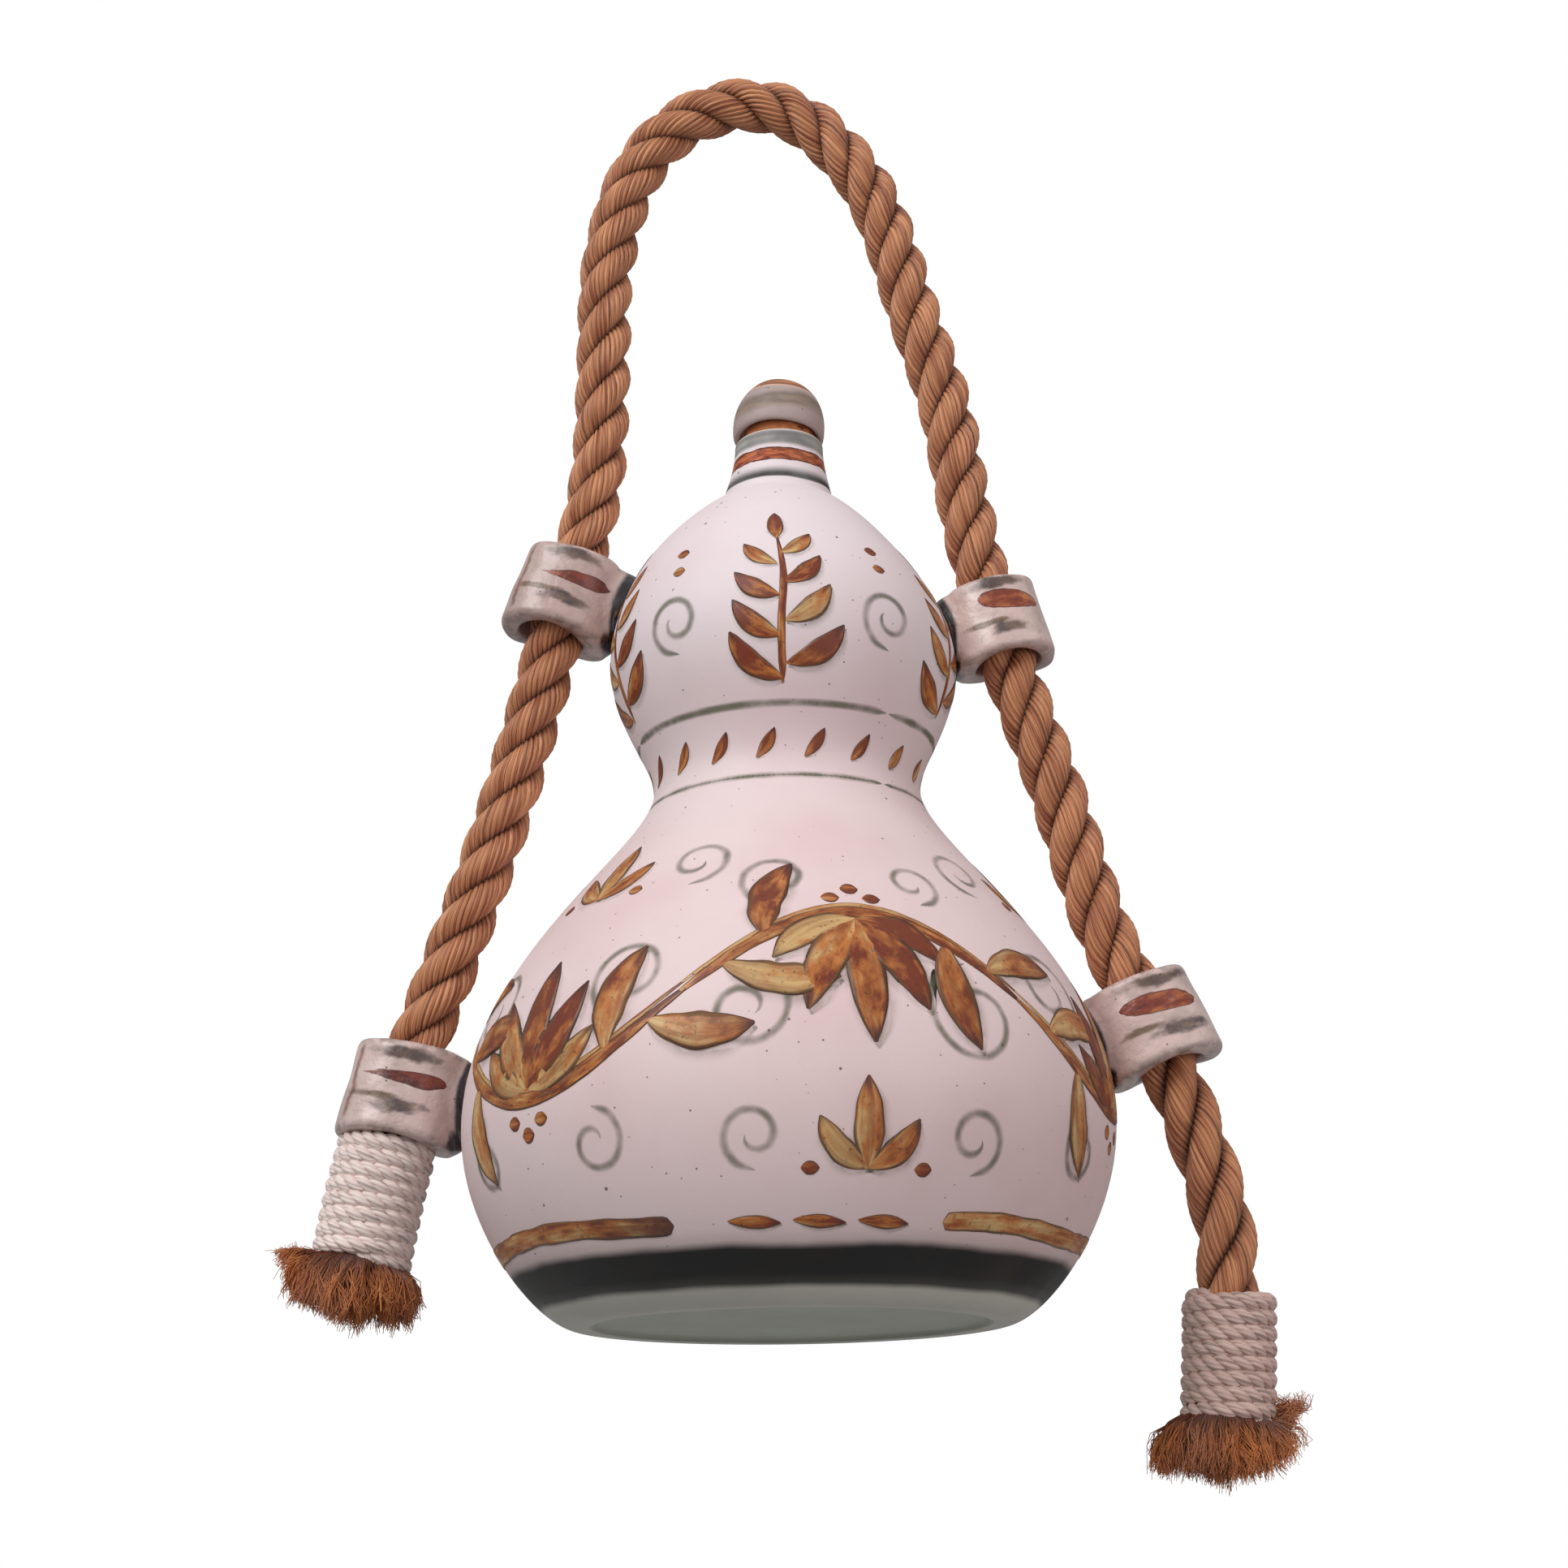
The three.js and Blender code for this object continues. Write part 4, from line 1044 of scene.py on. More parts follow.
def brush_stroke_tree():
    """Flat lens-shaped ribbons of paint along lines that lie on the glaze."""
    nodes, given, out = new_group(
        "brush_strokes", "GeometryNodeTree",
        {"Lines": SHAPE, "Thickness": NUMBER, "Sides": COUNT, "Material": FINISH},
        {"Paint": SHAPE})
    curve = nodes.take("GeometryNodeMeshToCurve", {"Mesh": given["Lines"]})
    curve = nodes.take("GeometryNodeSetCurveNormal",
                       {"Curve": curve, "Normal": nodes.named("stroke_out", "FLOAT_VECTOR")}, mode="FREE")
    factor = nodes.take("GeometryNodeSplineParameter", output="Factor")
    curve, kept = nodes.capture(curve, {"along": factor})
    ring = nodes.take("GeometryNodeCurvePrimitiveCircle", {"Resolution": given["Sides"], "Radius": 1.0})
    x, y, _ = nodes.parts(nodes.position())
    ring, kept_round = nodes.capture(ring, {"across": y})
    ring = nodes.moved(ring, Position=nodes.combine(x * given["Thickness"], y, 0.0))
    mesh = nodes.take("GeometryNodeCurveToMesh",
                      {"Curve": curve, "Profile Curve": ring, "Scale": nodes.named("stroke_width"),
                       "Fill Caps": True})
    mesh = nodes.store(mesh, {"stroke_along": kept["along"], "stroke_across": kept_round["across"]})
    return nodes.complete(mesh, given["Material"], out["Paint"])


LAID_ROPE = laid_rope_tree()
FRAYED_FIBRES = frayed_fibre_tree()
BRUSH_STROKES = brush_stroke_tree()


# Rope

def part_way(a, b, start, end, t):
    """Point that is at a when t is at its start, and at b when it is at its end."""
    return a * (end - t) / (end - start) + b * (t - start) / (end - start)


def smooth_line(points, steps):
    """Centripetal curve through points, with a number of steps between each two."""
    ends = [2 * points[0] - points[1], *points, 2 * points[-1] - points[-2]]
    line = []
    for i in range(len(points) - 1):
        four = ends[i:i + 4]
        knots = [0.0]
        for a, b in zip(four, four[1:]):
            knots.append(knots[-1] + max((b - a).length ** 0.5, 1e-9))
        for step in range(steps):
            t = knots[1] + (knots[2] - knots[1]) * step / steps
            level = four
            for span in (1, 2):
                level = [part_way(level[j], level[j + 1], knots[j], knots[j + span], t)
                         for j in range(4 - span)]
            line.append(part_way(level[0], level[1], knots[1], knots[2], t))
    line.append(points[-1].copy())
    return line


def line_length(line):
    return sum((b - a).length for a, b in zip(line, line[1:]))


def at_distance(line, distance):
    """Point and direction at a distance along a line."""
    for a, b in zip(line, line[1:]):
        step = (b - a).length
        if distance <= step:
            return a.lerp(b, distance / step), (b - a).normalized()
        distance -= step
    return line[-1], (line[-1] - line[-2]).normalized()


def rope_piece(name, line, lay):
    values = {"Strands": ROPE_STRANDS, "Rope Radius": ROPE_RADIUS, "Strand Radius": STRAND_RADIUS,
              "Lay Length": lay, "Yarns": STRAND_YARNS, "Yarn Depth": STRAND_YARN_DEPTH,
              "Yarn Turn": STRAND_YARN_TURN, "Step": ROPE_STEP, "Sides": STRAND_SIDES, "Material": ROPE}
    return piece_from_tree(name, LAID_ROPE, line_mesh(name, [line]), values)


def whipping_piece(name, line, from_end, coil_radius, coil_turns, material):
    """Cotton cord wound on the rope from its end, with both cord ends tucked in."""
    count = round(coil_turns * WHIPPING_STEPS_PER_TURN)
    tuck = WHIPPING_STEPS_PER_TURN // 3
    turns = []
    for i in range(-tuck, count + tuck + 1):
        turn = i / WHIPPING_STEPS_PER_TURN
        seen = min(max(turn, 0), coil_turns)
        tucked = turn - seen
        inside = abs(tucked) / (tuck / WHIPPING_STEPS_PER_TURN)
        wound = seen * WHIPPING_PITCH - tucked * WHIPPING_TUCK_BACK
        point, along = at_distance(line, from_end + wound)
        across = BACKWARDS.cross(along)
        radius = coil_radius - inside ** 2 * WHIPPING_TUCK
        angle = FULL_TURN * turn
        turns.append(point + across * (radius * math.cos(angle)) + BACKWARDS * (radius * math.sin(angle)))
    values = {"Strands": WHIPPING_STRANDS, "Rope Radius": WHIPPING_CORD / 2,
              "Strand Radius": WHIPPING_STRAND_RADIUS, "Lay Length": WHIPPING_LAY, "Yarns": WHIPPING_YARNS,
              "Yarn Depth": WHIPPING_YARN_DEPTH, "Yarn Turn": WHIPPING_YARN_TURN, "Step": WHIPPING_STEP,
              "Sides": WHIPPING_SIDES, "Material": material}
    return piece_from_tree(name, LAID_ROPE, line_mesh(name, [turns]), values)


def frayed_piece(name, line, lean, aside, seed):
    """Loose fibres below the rope's end, set a little aside from its middle."""
    point, along = at_distance(line, 0)
    across = BACKWARDS.cross(along)
    values = {"Fibres": FIBRES, "Root Radius": FIBRE_ROOT_RADIUS, "Length": FIBRE_LENGTH,
              "Flare": FIBRE_FLARE, "Curl": FIBRE_CURL, "Lean": (lean, 0.0, 0.0),
              "Fibre Radius": FIBRE_RADIUS, "Seed": seed, "Material": FIBRE}
    piece = piece_from_tree(name, FRAYED_FIBRES, bpy.data.meshes.new(name), values)
    turn = Matrix((across, BACKWARDS, along)).transposed().to_4x4()
    place = point + Vector((aside, 0, 0)) + along * FIBRE_ROOT_RAISED
    piece.data.transform(Matrix.Translation(place) @ turn)
    return piece


route_points = [Vector((across, 0, FOOT_LEVEL + height)) for across, height in ROPE_ROUTE]
route = smooth_line(route_points, ROUTE_STEPS)
main_line = route[:LOWER_RIGHT_LUG_PLACE * ROUTE_STEPS + 1]
tail_line = route[LOWER_RIGHT_LUG_PLACE * ROUTE_STEPS:]
right_end = tail_line[::-1]

handle_rope = rope_piece("handle_rope", main_line, ROPE_LAY)
tail_rope = rope_piece("tail_rope", tail_line, TAIL_LAY)
left_winding = whipping_piece("left_cotton_whipping", main_line, LEFT_WHIPPING_FROM_END,
                              LEFT_WHIPPING_RADIUS, LEFT_WHIPPING_TURNS, COTTON)
right_winding = whipping_piece("right_cotton_whipping", right_end, RIGHT_WHIPPING_FROM_END,
                               RIGHT_WHIPPING_RADIUS, RIGHT_WHIPPING_TURNS, DARKER_COTTON)
left_brush = frayed_piece("left_frayed_fibres", main_line, *LEFT_FRAY)
right_brush = frayed_piece("right_frayed_fibres", right_end, *RIGHT_FRAY)

hinge_left = route_points[LEFT_HINGE]
hinge_right = route_points[RIGHT_HINGE]
hinge_middle = (hinge_left + hinge_right) / 2
hinge_up = (hinge_right - hinge_left).normalized().cross(BACKWARDS)
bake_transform(handle_rope, "rope_loop", "flask", start=hinge_middle + hinge_up * BEND_ABOVE,
         end=hinge_middle - hinge_up * BEND_BELOW)
tail_seat = route_points[TAIL_SEAT]
tail_hinge = route_points[TAIL_HINGE]
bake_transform(tail_rope, "flask", "right_tail", start=tail_seat, end=2 * tail_hinge - tail_seat)
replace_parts(handle_rope, "rope_handle_loop", "rope_left_side", "rope_right_side")
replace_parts(tail_rope, "rope_right_tail")
for piece, node, body in ((left_winding, "left_whipping", "flask"),
                          (right_winding, "right_whipping", "right_tail"),
                          (left_brush, "left_frayed_end", "flask"),
                          (right_brush, "right_frayed_end", "right_tail")):
    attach(piece, body)
    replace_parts(piece, node)
line_length(main_line)
line_length(tail_line)


# Body

def bezier(points, steps):
    a, b, c, d = (Vector(point) for point in points)
    line = []
    for i in range(steps + 1):
        t = i / steps
        s = 1 - t
        line.append(a * s ** 3 + b * (3 * s * s * t) + c * (3 * s * t * t) + d * t ** 3)
    return line


def corner_arc(before, corner, after, radius, steps):
    """Rounded corner of an outline."""
    corner = Vector(corner)
    first = corner + (Vector(before) - corner).normalized() * radius
    last = corner + (Vector(after) - corner).normalized() * radius
    shares = [i / steps for i in range(steps + 1)]
    return [first.lerp(corner, share).lerp(corner.lerp(last, share), share) for share in shares]


def gourd_outline(inset, bottom, bottom_radius, top, top_radius, steps):
    """Outline from foot to shoulder, moved inwards by an inset, as radius and height."""
    belly = BELLY_RADIUS - inset
    waist = WAIST_RADIUS - inset
    bulb = BULB_RADIUS - inset
    shoulder = (top_radius + SHOULDER_EASE * math.cos(SHOULDER_SLOPE),
                top - SHOULDER_EASE * math.sin(SHOULDER_SLOPE))
    turns = [
        [(bottom_radius, bottom), (bottom_radius + FOOT_EASE, bottom),
         (belly, BELLY_HEIGHT - BELLY_UNDER_EASE), (belly, BELLY_HEIGHT)],
        [(belly, BELLY_HEIGHT), (belly, BELLY_HEIGHT + BELLY_OVER_EASE),
         (waist, WAIST_HEIGHT - WAIST_UNDER_EASE), (waist, WAIST_HEIGHT)],
        [(waist, WAIST_HEIGHT), (waist, WAIST_HEIGHT + WAIST_OVER_EASE),
         (bulb, BULB_HEIGHT - BULB_UNDER_EASE), (bulb, BULB_HEIGHT)],
        [(bulb, BULB_HEIGHT), (bulb, BULB_HEIGHT + BULB_OVER_EASE), shoulder, (top_radius, top)],
    ]
    outline = [Vector(turns[0][0])]
    for turn in turns:
        outline += bezier(turn, steps)[1:]
    return outline


def outside_outline():
    """Outline of the outside from the foot to below the lip."""
    straight = LIP_HEIGHT - LIP_ROUNDING
    neck = [(SHOULDER_RADIUS, SHOULDER_HEIGHT),
            (SHOULDER_RADIUS - NECK_EASE * 0.3, SHOULDER_HEIGHT + NECK_EASE),
            (LIP_RADIUS, straight - NECK_EASE), (LIP_RADIUS, straight)]
    gourd = gourd_outline(0, -FOOT_RING_DROP, FOOT_RADIUS, SHOULDER_HEIGHT, SHOULDER_RADIUS, OUTSIDE_STEPS)
    return gourd + bezier(neck, NECK_STEPS)[1:]


OUTSIDE = outside_outline()
OUTSIDE_RADII = [point.x for point in OUTSIDE]
OUTSIDE_HEIGHTS = [point.y for point in OUTSIDE]
OUTSIDE_ARCS = [0.0]
for low, high in zip(OUTSIDE, OUTSIDE[1:]):
    OUTSIDE_ARCS.append(OUTSIDE_ARCS[-1] + (high - low).length)


def read_table(keys, values, key):
    """Value at a key, in step with the keys on both sides of it."""
    i = min(max(bisect.bisect_left(keys, key), 1), len(keys) - 1)
    share = (key - keys[i - 1]) / (keys[i] - keys[i - 1])
    return values[i - 1] + (values[i] - values[i - 1]) * share


def body_radius(height):
    return read_table(OUTSIDE_HEIGHTS, OUTSIDE_RADII, height)


def arc_at(height):
    """Way along the outside from the foot to a height."""
    return read_table(OUTSIDE_HEIGHTS, OUTSIDE_ARCS, height)


def round_point(radius, angle, height):
    """Point about the flask's axis. Angle 0 is the front, and grows to the right."""
    return Vector((radius * math.sin(angle), -radius * math.cos(angle), FOOT_LEVEL + height))


def hand_thrown(point):
    """Moves a point of the true round body to where the potter's hand left it."""
    height = point.z - FOOT_LEVEL
    shift = sum(aside * math.exp(-((height - middle) / spread) ** 2 / 2)
                for aside, middle, spread in CROOKS)
    flat = Vector((point.x, point.y, 0))
    if flat.length > MM:
        across = flat * WOBBLE_SCALE_ACROSS
        ripple = noise.noise(Vector((across.x, across.y, height * WOBBLE_SCALE_UP)))
        point = point + flat.normalized() * ripple * WOBBLE
    return point + Vector((shift, 0, 0))


def bridge(mesh, low, high):
    """Faces between two rings of points, either of which may be a single point."""
    for i in range(max(len(low), len(high))):
        a, b = low[i % len(low)], low[(i + 1) % len(low)]
        c, d = high[(i + 1) % len(high)], high[i % len(high)]
        mesh.faces.new(list(dict.fromkeys((a, b, c, d))))


def finish_piece(name, made, material, body):
    """Keeps a made shape as a smooth piece that rides on a body."""
    bmesh.ops.recalc_face_normals(made, faces=made.faces)
    mesh = bpy.data.meshes.new(name)
    made.to_mesh(mesh)
    made.free()
    mesh.materials.append(material)
    mesh.shade_smooth()
    piece = add_object(name, mesh)
    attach(piece, body)
    return piece


def turned_piece(name, outline, segments, shape, material, body):
    """Round piece about Z from an outline that starts and ends on the axis."""
    made = bmesh.new()
    rings = []
    for radius, height in outline:
        count = 1 if radius < 1e-7 else segments
        ring = [round_point(radius, FULL_TURN * i / segments, height) for i in range(count)]
        rings.append([made.verts.new(shape(point)) for point in ring])
    for low, high in zip(rings, rings[1:]):
        bridge(made, low, high)
    return finish_piece(name, made, material, body)


def body_piece():
    low = -FOOT_RING_DROP
    inset = low + RECESS_DEPTH
    base = [Vector((0, inset)), Vector((RECESS_RADIUS * 0.5, inset))]
    base += bezier([(RECESS_RADIUS - 2 * MM, inset), (RECESS_RADIUS - MM, inset),
                    (RECESS_RADIUS - MM, low), (RECESS_RADIUS + MM, low)], steps=8)
    rim, edge = (LIP_RADIUS, LIP_HEIGHT), (NECK_BORE_RADIUS, LIP_HEIGHT)
    lip = corner_arc((LIP_RADIUS, 0), rim, edge, LIP_ROUNDING, steps=8)
    mouth = corner_arc(rim, edge, (NECK_BORE_RADIUS, 0), MOUTH_ROUNDING, steps=6)
    inside = gourd_outline(WALL, FLOOR_THICKNESS, FOOT_RADIUS - WALL, SHOULDER_HEIGHT - WALL,
                           NECK_BORE_RADIUS, INSIDE_STEPS)
    outline = base + OUTSIDE + lip[1:] + mouth + inside[::-1] + [Vector((0, FLOOR_THICKNESS))]
    piece = turned_piece("faience_body", outline, BODY_SEGMENTS, hand_thrown, BODY_GLAZE,
                         "flask")
    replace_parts(piece, "flask_body")


body_piece()


# Painted decoration

def on_body(angle, height):
    """Point on the glaze and its outward direction."""
    def spot(a, h):
        return hand_thrown(round_point(body_radius(h), a, h))

    side = spot(angle + SLOPE_ANGLE, height) - spot(angle - SLOPE_ANGLE, height)
    rise = spot(angle, height + SLOPE_HEIGHT) - spot(angle, height - SLOPE_HEIGHT)
    return spot(angle, height), side.cross(rise).normalized()


def near(angle, height, across, up):
    """Angle and height of a spot some way across and up the glaze from another."""
    spot_height = read_table(OUTSIDE_ARCS, OUTSIDE_HEIGHTS, arc_at(height) + up)
    return angle + across / body_radius(spot_height), spot_height


class Brush:
    """Strokes on the glaze, each a smooth line with a width, a tone and an outward direction."""

    def __init__(self):
        self.lines = []
        self.values = {"stroke_width": [], "stroke_tone": [], "stroke_length": [], "stroke_out": []}

    def stroke(self, places, width, tone, taper, lift):
        """Places are pairs of angle and height. Taper is the share of the length that swells and thins."""
        flat = smooth_line([Vector((a * BELLY_RADIUS, h, 0)) for a, h in places], STROKE_STEPS)
        line = []
        for i, place in enumerate(flat):
            along = i / (len(flat) - 1)
            point, out = on_body(place.x / BELLY_RADIUS, place.y)
            line.append(point + out * lift)
            swell = math.sin(min(1.0, along / taper[0]) * math.pi / 2)
            thin = math.sin(min(1.0, (1 - along) / taper[1]) * math.pi / 2)
            full = max((swell * thin) ** STROKE_FULLNESS, STROKE_LEAST)
            uneven = 1 + STROKE_WAVER * noise.noise(line[-1] * STROKE_WAVER_SCALE)
            self.values["stroke_width"].append(width / 2 * full * uneven)
            self.values["stroke_tone"].append(tone)
            self.values["stroke_out"].append(out)
        self.values["stroke_length"] += [line_length(line)] * len(line)
        self.lines.append(line)

    def piece(self, name, material, thickness):
        """All strokes as one piece, with a thickness against their width."""
        values = {"Thickness": thickness, "Sides": STROKE_SIDES, "Material": material}
        piece = piece_from_tree(name, BRUSH_STROKES, line_mesh(name, self.lines, self.values), values)
        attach(piece, "flask")


class Painter:
    """Brushwork in warm oxide over a thin grey-green wash."""

    def __init__(self, seed):
        self.oxide = Brush()
        self.wash = Brush()
        self.draw = random.Random(seed)

    def leaf(self, spot, lean, length, width, tone, bend):
        """Almond leaf in one press of the brush, leaning from upright, with a soft shadow of wash."""
        places, shadow = [], []
        for t in (0, 0.25, 0.5, 0.75, 1):
            sway = bend * length * math.sin(math.pi * t)
            across = length * t * math.sin(lean) + sway * math.cos(lean)
            up = length * t * math.cos(lean) - sway * math.sin(lean)
            places.append(near(*spot, across, up))
            shadow.append(near(*spot, across + SHADOW_ACROSS * width, up + SHADOW_UP * width))
        self.oxide.stroke(places, width, tone, (0.5, 0.5), OXIDE_LIFT)
        self.wash.stroke(shadow, width * SHADOW_WIDTH, SHADOW_TONE, (0.4, 0.4), SHADOW_LIFT)

    def dot(self, spot, size, tone):
        """Round touch of the brush."""
        places = [near(*spot, share * size * 0.6, 0) for share in (-1, -0.4, 0.4, 1)]
        self.oxide.stroke(places, size, tone, (0.5, 0.5), OXIDE_LIFT)

    def tendril(self, spot, size, turns, start, hand):
        """Thin loop of wash that winds in on itself."""
        places = []
        count = int(turns * 10)
        for i in range(count + 1):
            share = i / count
            radius = size * (1 - 0.75 * share)
            turn = start + hand * FULL_TURN * turns * share
            places.append(near(*spot, radius * math.cos(turn), radius * math.sin(turn)))
        self.wash.stroke(places, WASH_WIDTH, TENDRIL_TONE, (0.08, 0.3), WASH_LIFT)

    def stem(self, turn, aside=0.0):
        """Spot on the vine's stem."""
        up = VINE_SWING * math.sin(VINE_WAVES * turn + VINE_START) + aside
        return near(turn, VINE_HEIGHT, 0, up)

    def heading(self, turn):
        """Direction of the vine's stem, from upright."""
        before, after = self.stem(turn - SLOPE_ANGLE), self.stem(turn + SLOPE_ANGLE)
        across = (after[0] - before[0]) * body_radius(before[1])
        return math.atan2(across, arc_at(after[1]) - arc_at(before[1]))

    def vine(self):
        """Running vine round the belly, with leaves along it and a spray in each hollow."""
        uniform = self.draw.uniform
        steps = 10
        span = math.pi / VINE_WAVES
        for half in range(VINE_WAVES * 2):
            first = (half * math.pi - VINE_START) / VINE_WAVES
            for aside, width, tone in ((0.0, 3.6 * MM, 0.62), (2.1 * MM, 1.7 * MM, 0.15)):
                shares = [k / steps * 1.12 - 0.06 for k in range(steps + 1)]
                places = [self.stem(first + span * share, aside) for share in shares]
                self.oxide.stroke(places, width, tone + uniform(-0.1, 0.1), (0.3, 0.35), OXIDE_LIFT)
            over = 1 if half % 2 == 0 else -1
            for share, side, size in ((0.1, over, 26), (0.22, -over, 24), (0.78, over, 26), (0.9, -over, 24)):
                turn = first + span * share
                lean = self.heading(turn) + side * uniform(0.7, 0.9)
                self.leaf(self.stem(turn), lean, size * MM, uniform(8.2, 9.6) * MM, uniform(0.1, 0.75),
                          side * 0.1)
            turn = first + span * 0.5
            into = math.pi if over > 0 else 0.0
            root = near(*self.stem(turn), 0, -over * 2 * MM)
            for spread, size, width in ((-1.0, 22, 7.6), (-0.5, 27, 9.0), (0.0, 31, 9.6), (0.5, 27, 9.0),
                                        (1.0, 22, 7.6)):
                self.leaf(root, into + spread + uniform(-0.05, 0.05), size * MM, width * MM,
                          uniform(0.0, 0.9), 0.1 * spread)
            for across, up in ((-4.6, 4.5), (0, 7.5), (4.6, 4.5)):
                self.dot(near(*self.stem(turn), across * MM, over * up * MM), 3.4 * MM, uniform(0.4, 0.9))
            for side in (-1, 1):
                spot = near(*self.stem(turn + side * span * 0.3), side * 2 * MM, -over * 17 * MM)
                self.tendril(spot, uniform(10, 13) * MM, 1.35, math.pi / 2 * over, side * over)
                spot = near(*self.stem(turn + side * span * 0.2), side * 3 * MM, over * 15 * MM)
                self.tendril(spot, uniform(7, 9) * MM, 1.2, -math.pi / 2 * over, side * over)

    def sprigs(self):
        """Small three-leaved sprigs in the open places above and below the vine."""
        uniform = self.draw.uniform
        for half in range(VINE_WAVES * 2):
            turn = ((half + 0.5) * math.pi - VINE_START) / VINE_WAVES
            root = (turn, 22 * MM) if half % 2 == 0 else (turn, 88 * MM)
            for spread, size, width in ((-0.85, 15, 6.0), (0.0, 19, 7.0), (0.85, 15, 6.0)):
                self.leaf(root, spread + uniform(-0.08, 0.08), size * MM, width * MM, uniform(0.1, 0.8),
                          0.12 * spread)
            for side in (-1, 1):
                spot = near(*root, side * 24 * MM, 7 * MM)
                self.tendril(spot, uniform(7, 8.5) * MM, 1.25, -math.pi / 2, side)
                self.dot(near(*root, side * 12 * MM, 0), 3.2 * MM, uniform(0.4, 0.9))

    def branches(self):
        """Upright leafy branches round the upper bulb, with a loop of wash between each two."""
        uniform = self.draw.uniform
        count = 5
        foot = 140 * MM
        for i in range(count):
            turn = FULL_TURN * i / count
            stalk = [near(turn, foot, uniform(-0.8, 0.8) * MM, up * MM) for up in (0, 14, 28, 42)]
            self.oxide.stroke(stalk, 2.0 * MM, 0.65, (0.15, 0.5), OXIDE_LIFT)
            for step, up in enumerate((3, 13, 23, 32)):
                for side in (-1, 1):
                    root = near(turn, foot, side * 0.5 * MM, (up + side * 1.8) * MM)
                    self.leaf(root, side * uniform(0.8, 1.0), (17 - 2.2 * step) * MM,
                              (6.2 - 0.6 * step) * MM, uniform(0.0, 0.8), side * 0.12)
            self.leaf(near(turn, foot, 0, 39 * MM), 0.0, 11 * MM, 4.4 * MM, 0.7, 0.0)
            half = turn + math.pi / count
            self.tendril(near(half, foot, 0, 18 * MM), 8 * MM, 1.35, -math.pi / 2, 1 if i % 2 else -1)
            for up in (32, 38):
                self.dot(near(half, foot, 0, up * MM), 3 * MM, uniform(0.3, 0.9))

    def waist(self):
        """Slanting dashes between two thin rings."""
        dashes = 18
        for i in range(dashes):
            spot = near(FULL_TURN * (i + 0.5) / dashes, 124 * MM, -1.5 * MM, 0)
            self.leaf(spot, 0.6, 8.5 * MM, 3.0 * MM, self.draw.uniform(0.2, 0.9), 0.05)
        for height in (119 * MM, 136 * MM):
            for part in range(3):
                start = FULL_TURN * (part + 0.35) / 3
                places = [(start + FULL_TURN / 3 * 0.99 * k / 12, height) for k in range(13)]
                self.wash.stroke(places, WASH_WIDTH, RING_TONE, (0.06, 0.06), WASH_LIFT)

    def foot(self):
        """Broken brushed band above the dark foot."""
        count = 14
        for start, end in ((-118, -21), (28, 118), (126, 236)):
            places = [(math.radians(start + (end - start) * k / count),
                       (12.4 + 0.5 * math.sin(k * 0.8)) * MM) for k in range(count + 1)]
            self.oxide.stroke(places, 4.8 * MM, self.draw.uniform(0.3, 0.45), (0.012, 0.016), OXIDE_LIFT)
        for across in (-13, 0.5, 14):
            self.leaf(near(0, 12.2 * MM, across * MM, 0), math.pi / 2 + 0.06, 11 * MM, 3.2 * MM,
                      self.draw.uniform(0.4, 0.9), 0.0)


painter = Painter(PAINTER_SEED)
painter.vine()
painter.sprigs()
painter.branches()
painter.waist()
painter.foot()
painter.dot(STRAY_DROP, STRAY_DROP_SIZE, STRAY_DROP_TONE)
painter.wash.piece("green_wash_brushwork", WASH, WASH_THICKNESS)
painter.oxide.piece("oxide_brushwork", OXIDE, OXIDE_THICKNESS)


# Lugs

def lug_outline(width, tall):
    """Closed outline of a lug's wall as radius and height, from the bore's upper edge round the rims."""
    half = LUG_HEIGHT / 2 * tall
    top, bottom = LUG_TOP_RADIUS * width, LUG_BOTTOM_RADIUS * width
    top_wall, bottom_wall = top - LUG_BORE_RADIUS, bottom - LUG_BORE_RADIUS
    corners = [(LUG_BORE_RADIUS, half), (LUG_BORE_RADIUS, -half), (bottom, -half), (top, half)]
    edges = [min(LUG_BORE_EDGE, LUG_BORE_EDGE_SHARE * top_wall),
             min(LUG_BORE_EDGE, LUG_BORE_EDGE_SHARE * bottom_wall),
             min(LUG_RIM_EDGE, LUG_RIM_EDGE_SHARE * bottom_wall),
             min(LUG_RIM_EDGE, LUG_RIM_EDGE_SHARE * top_wall)]
    arcs = [corner_arc(corners[i - 1], corners[i], corners[(i + 1) % 4], edges[i], LUG_EDGE_STEPS)
            for i in range(4)]
    outline = []
    for arc, following in zip(arcs, arcs[1:] + arcs[:1]):
        count = max(1, round((following[0] - arc[-1]).length / LUG_RUN_STEP))
        outline += arc + [arc[-1].lerp(following[0], k / count) for k in range(1, count)]
    return outline


def limited(share):
    """Share kept from 0 to 1."""
    return min(1.0, max(0.0, share))


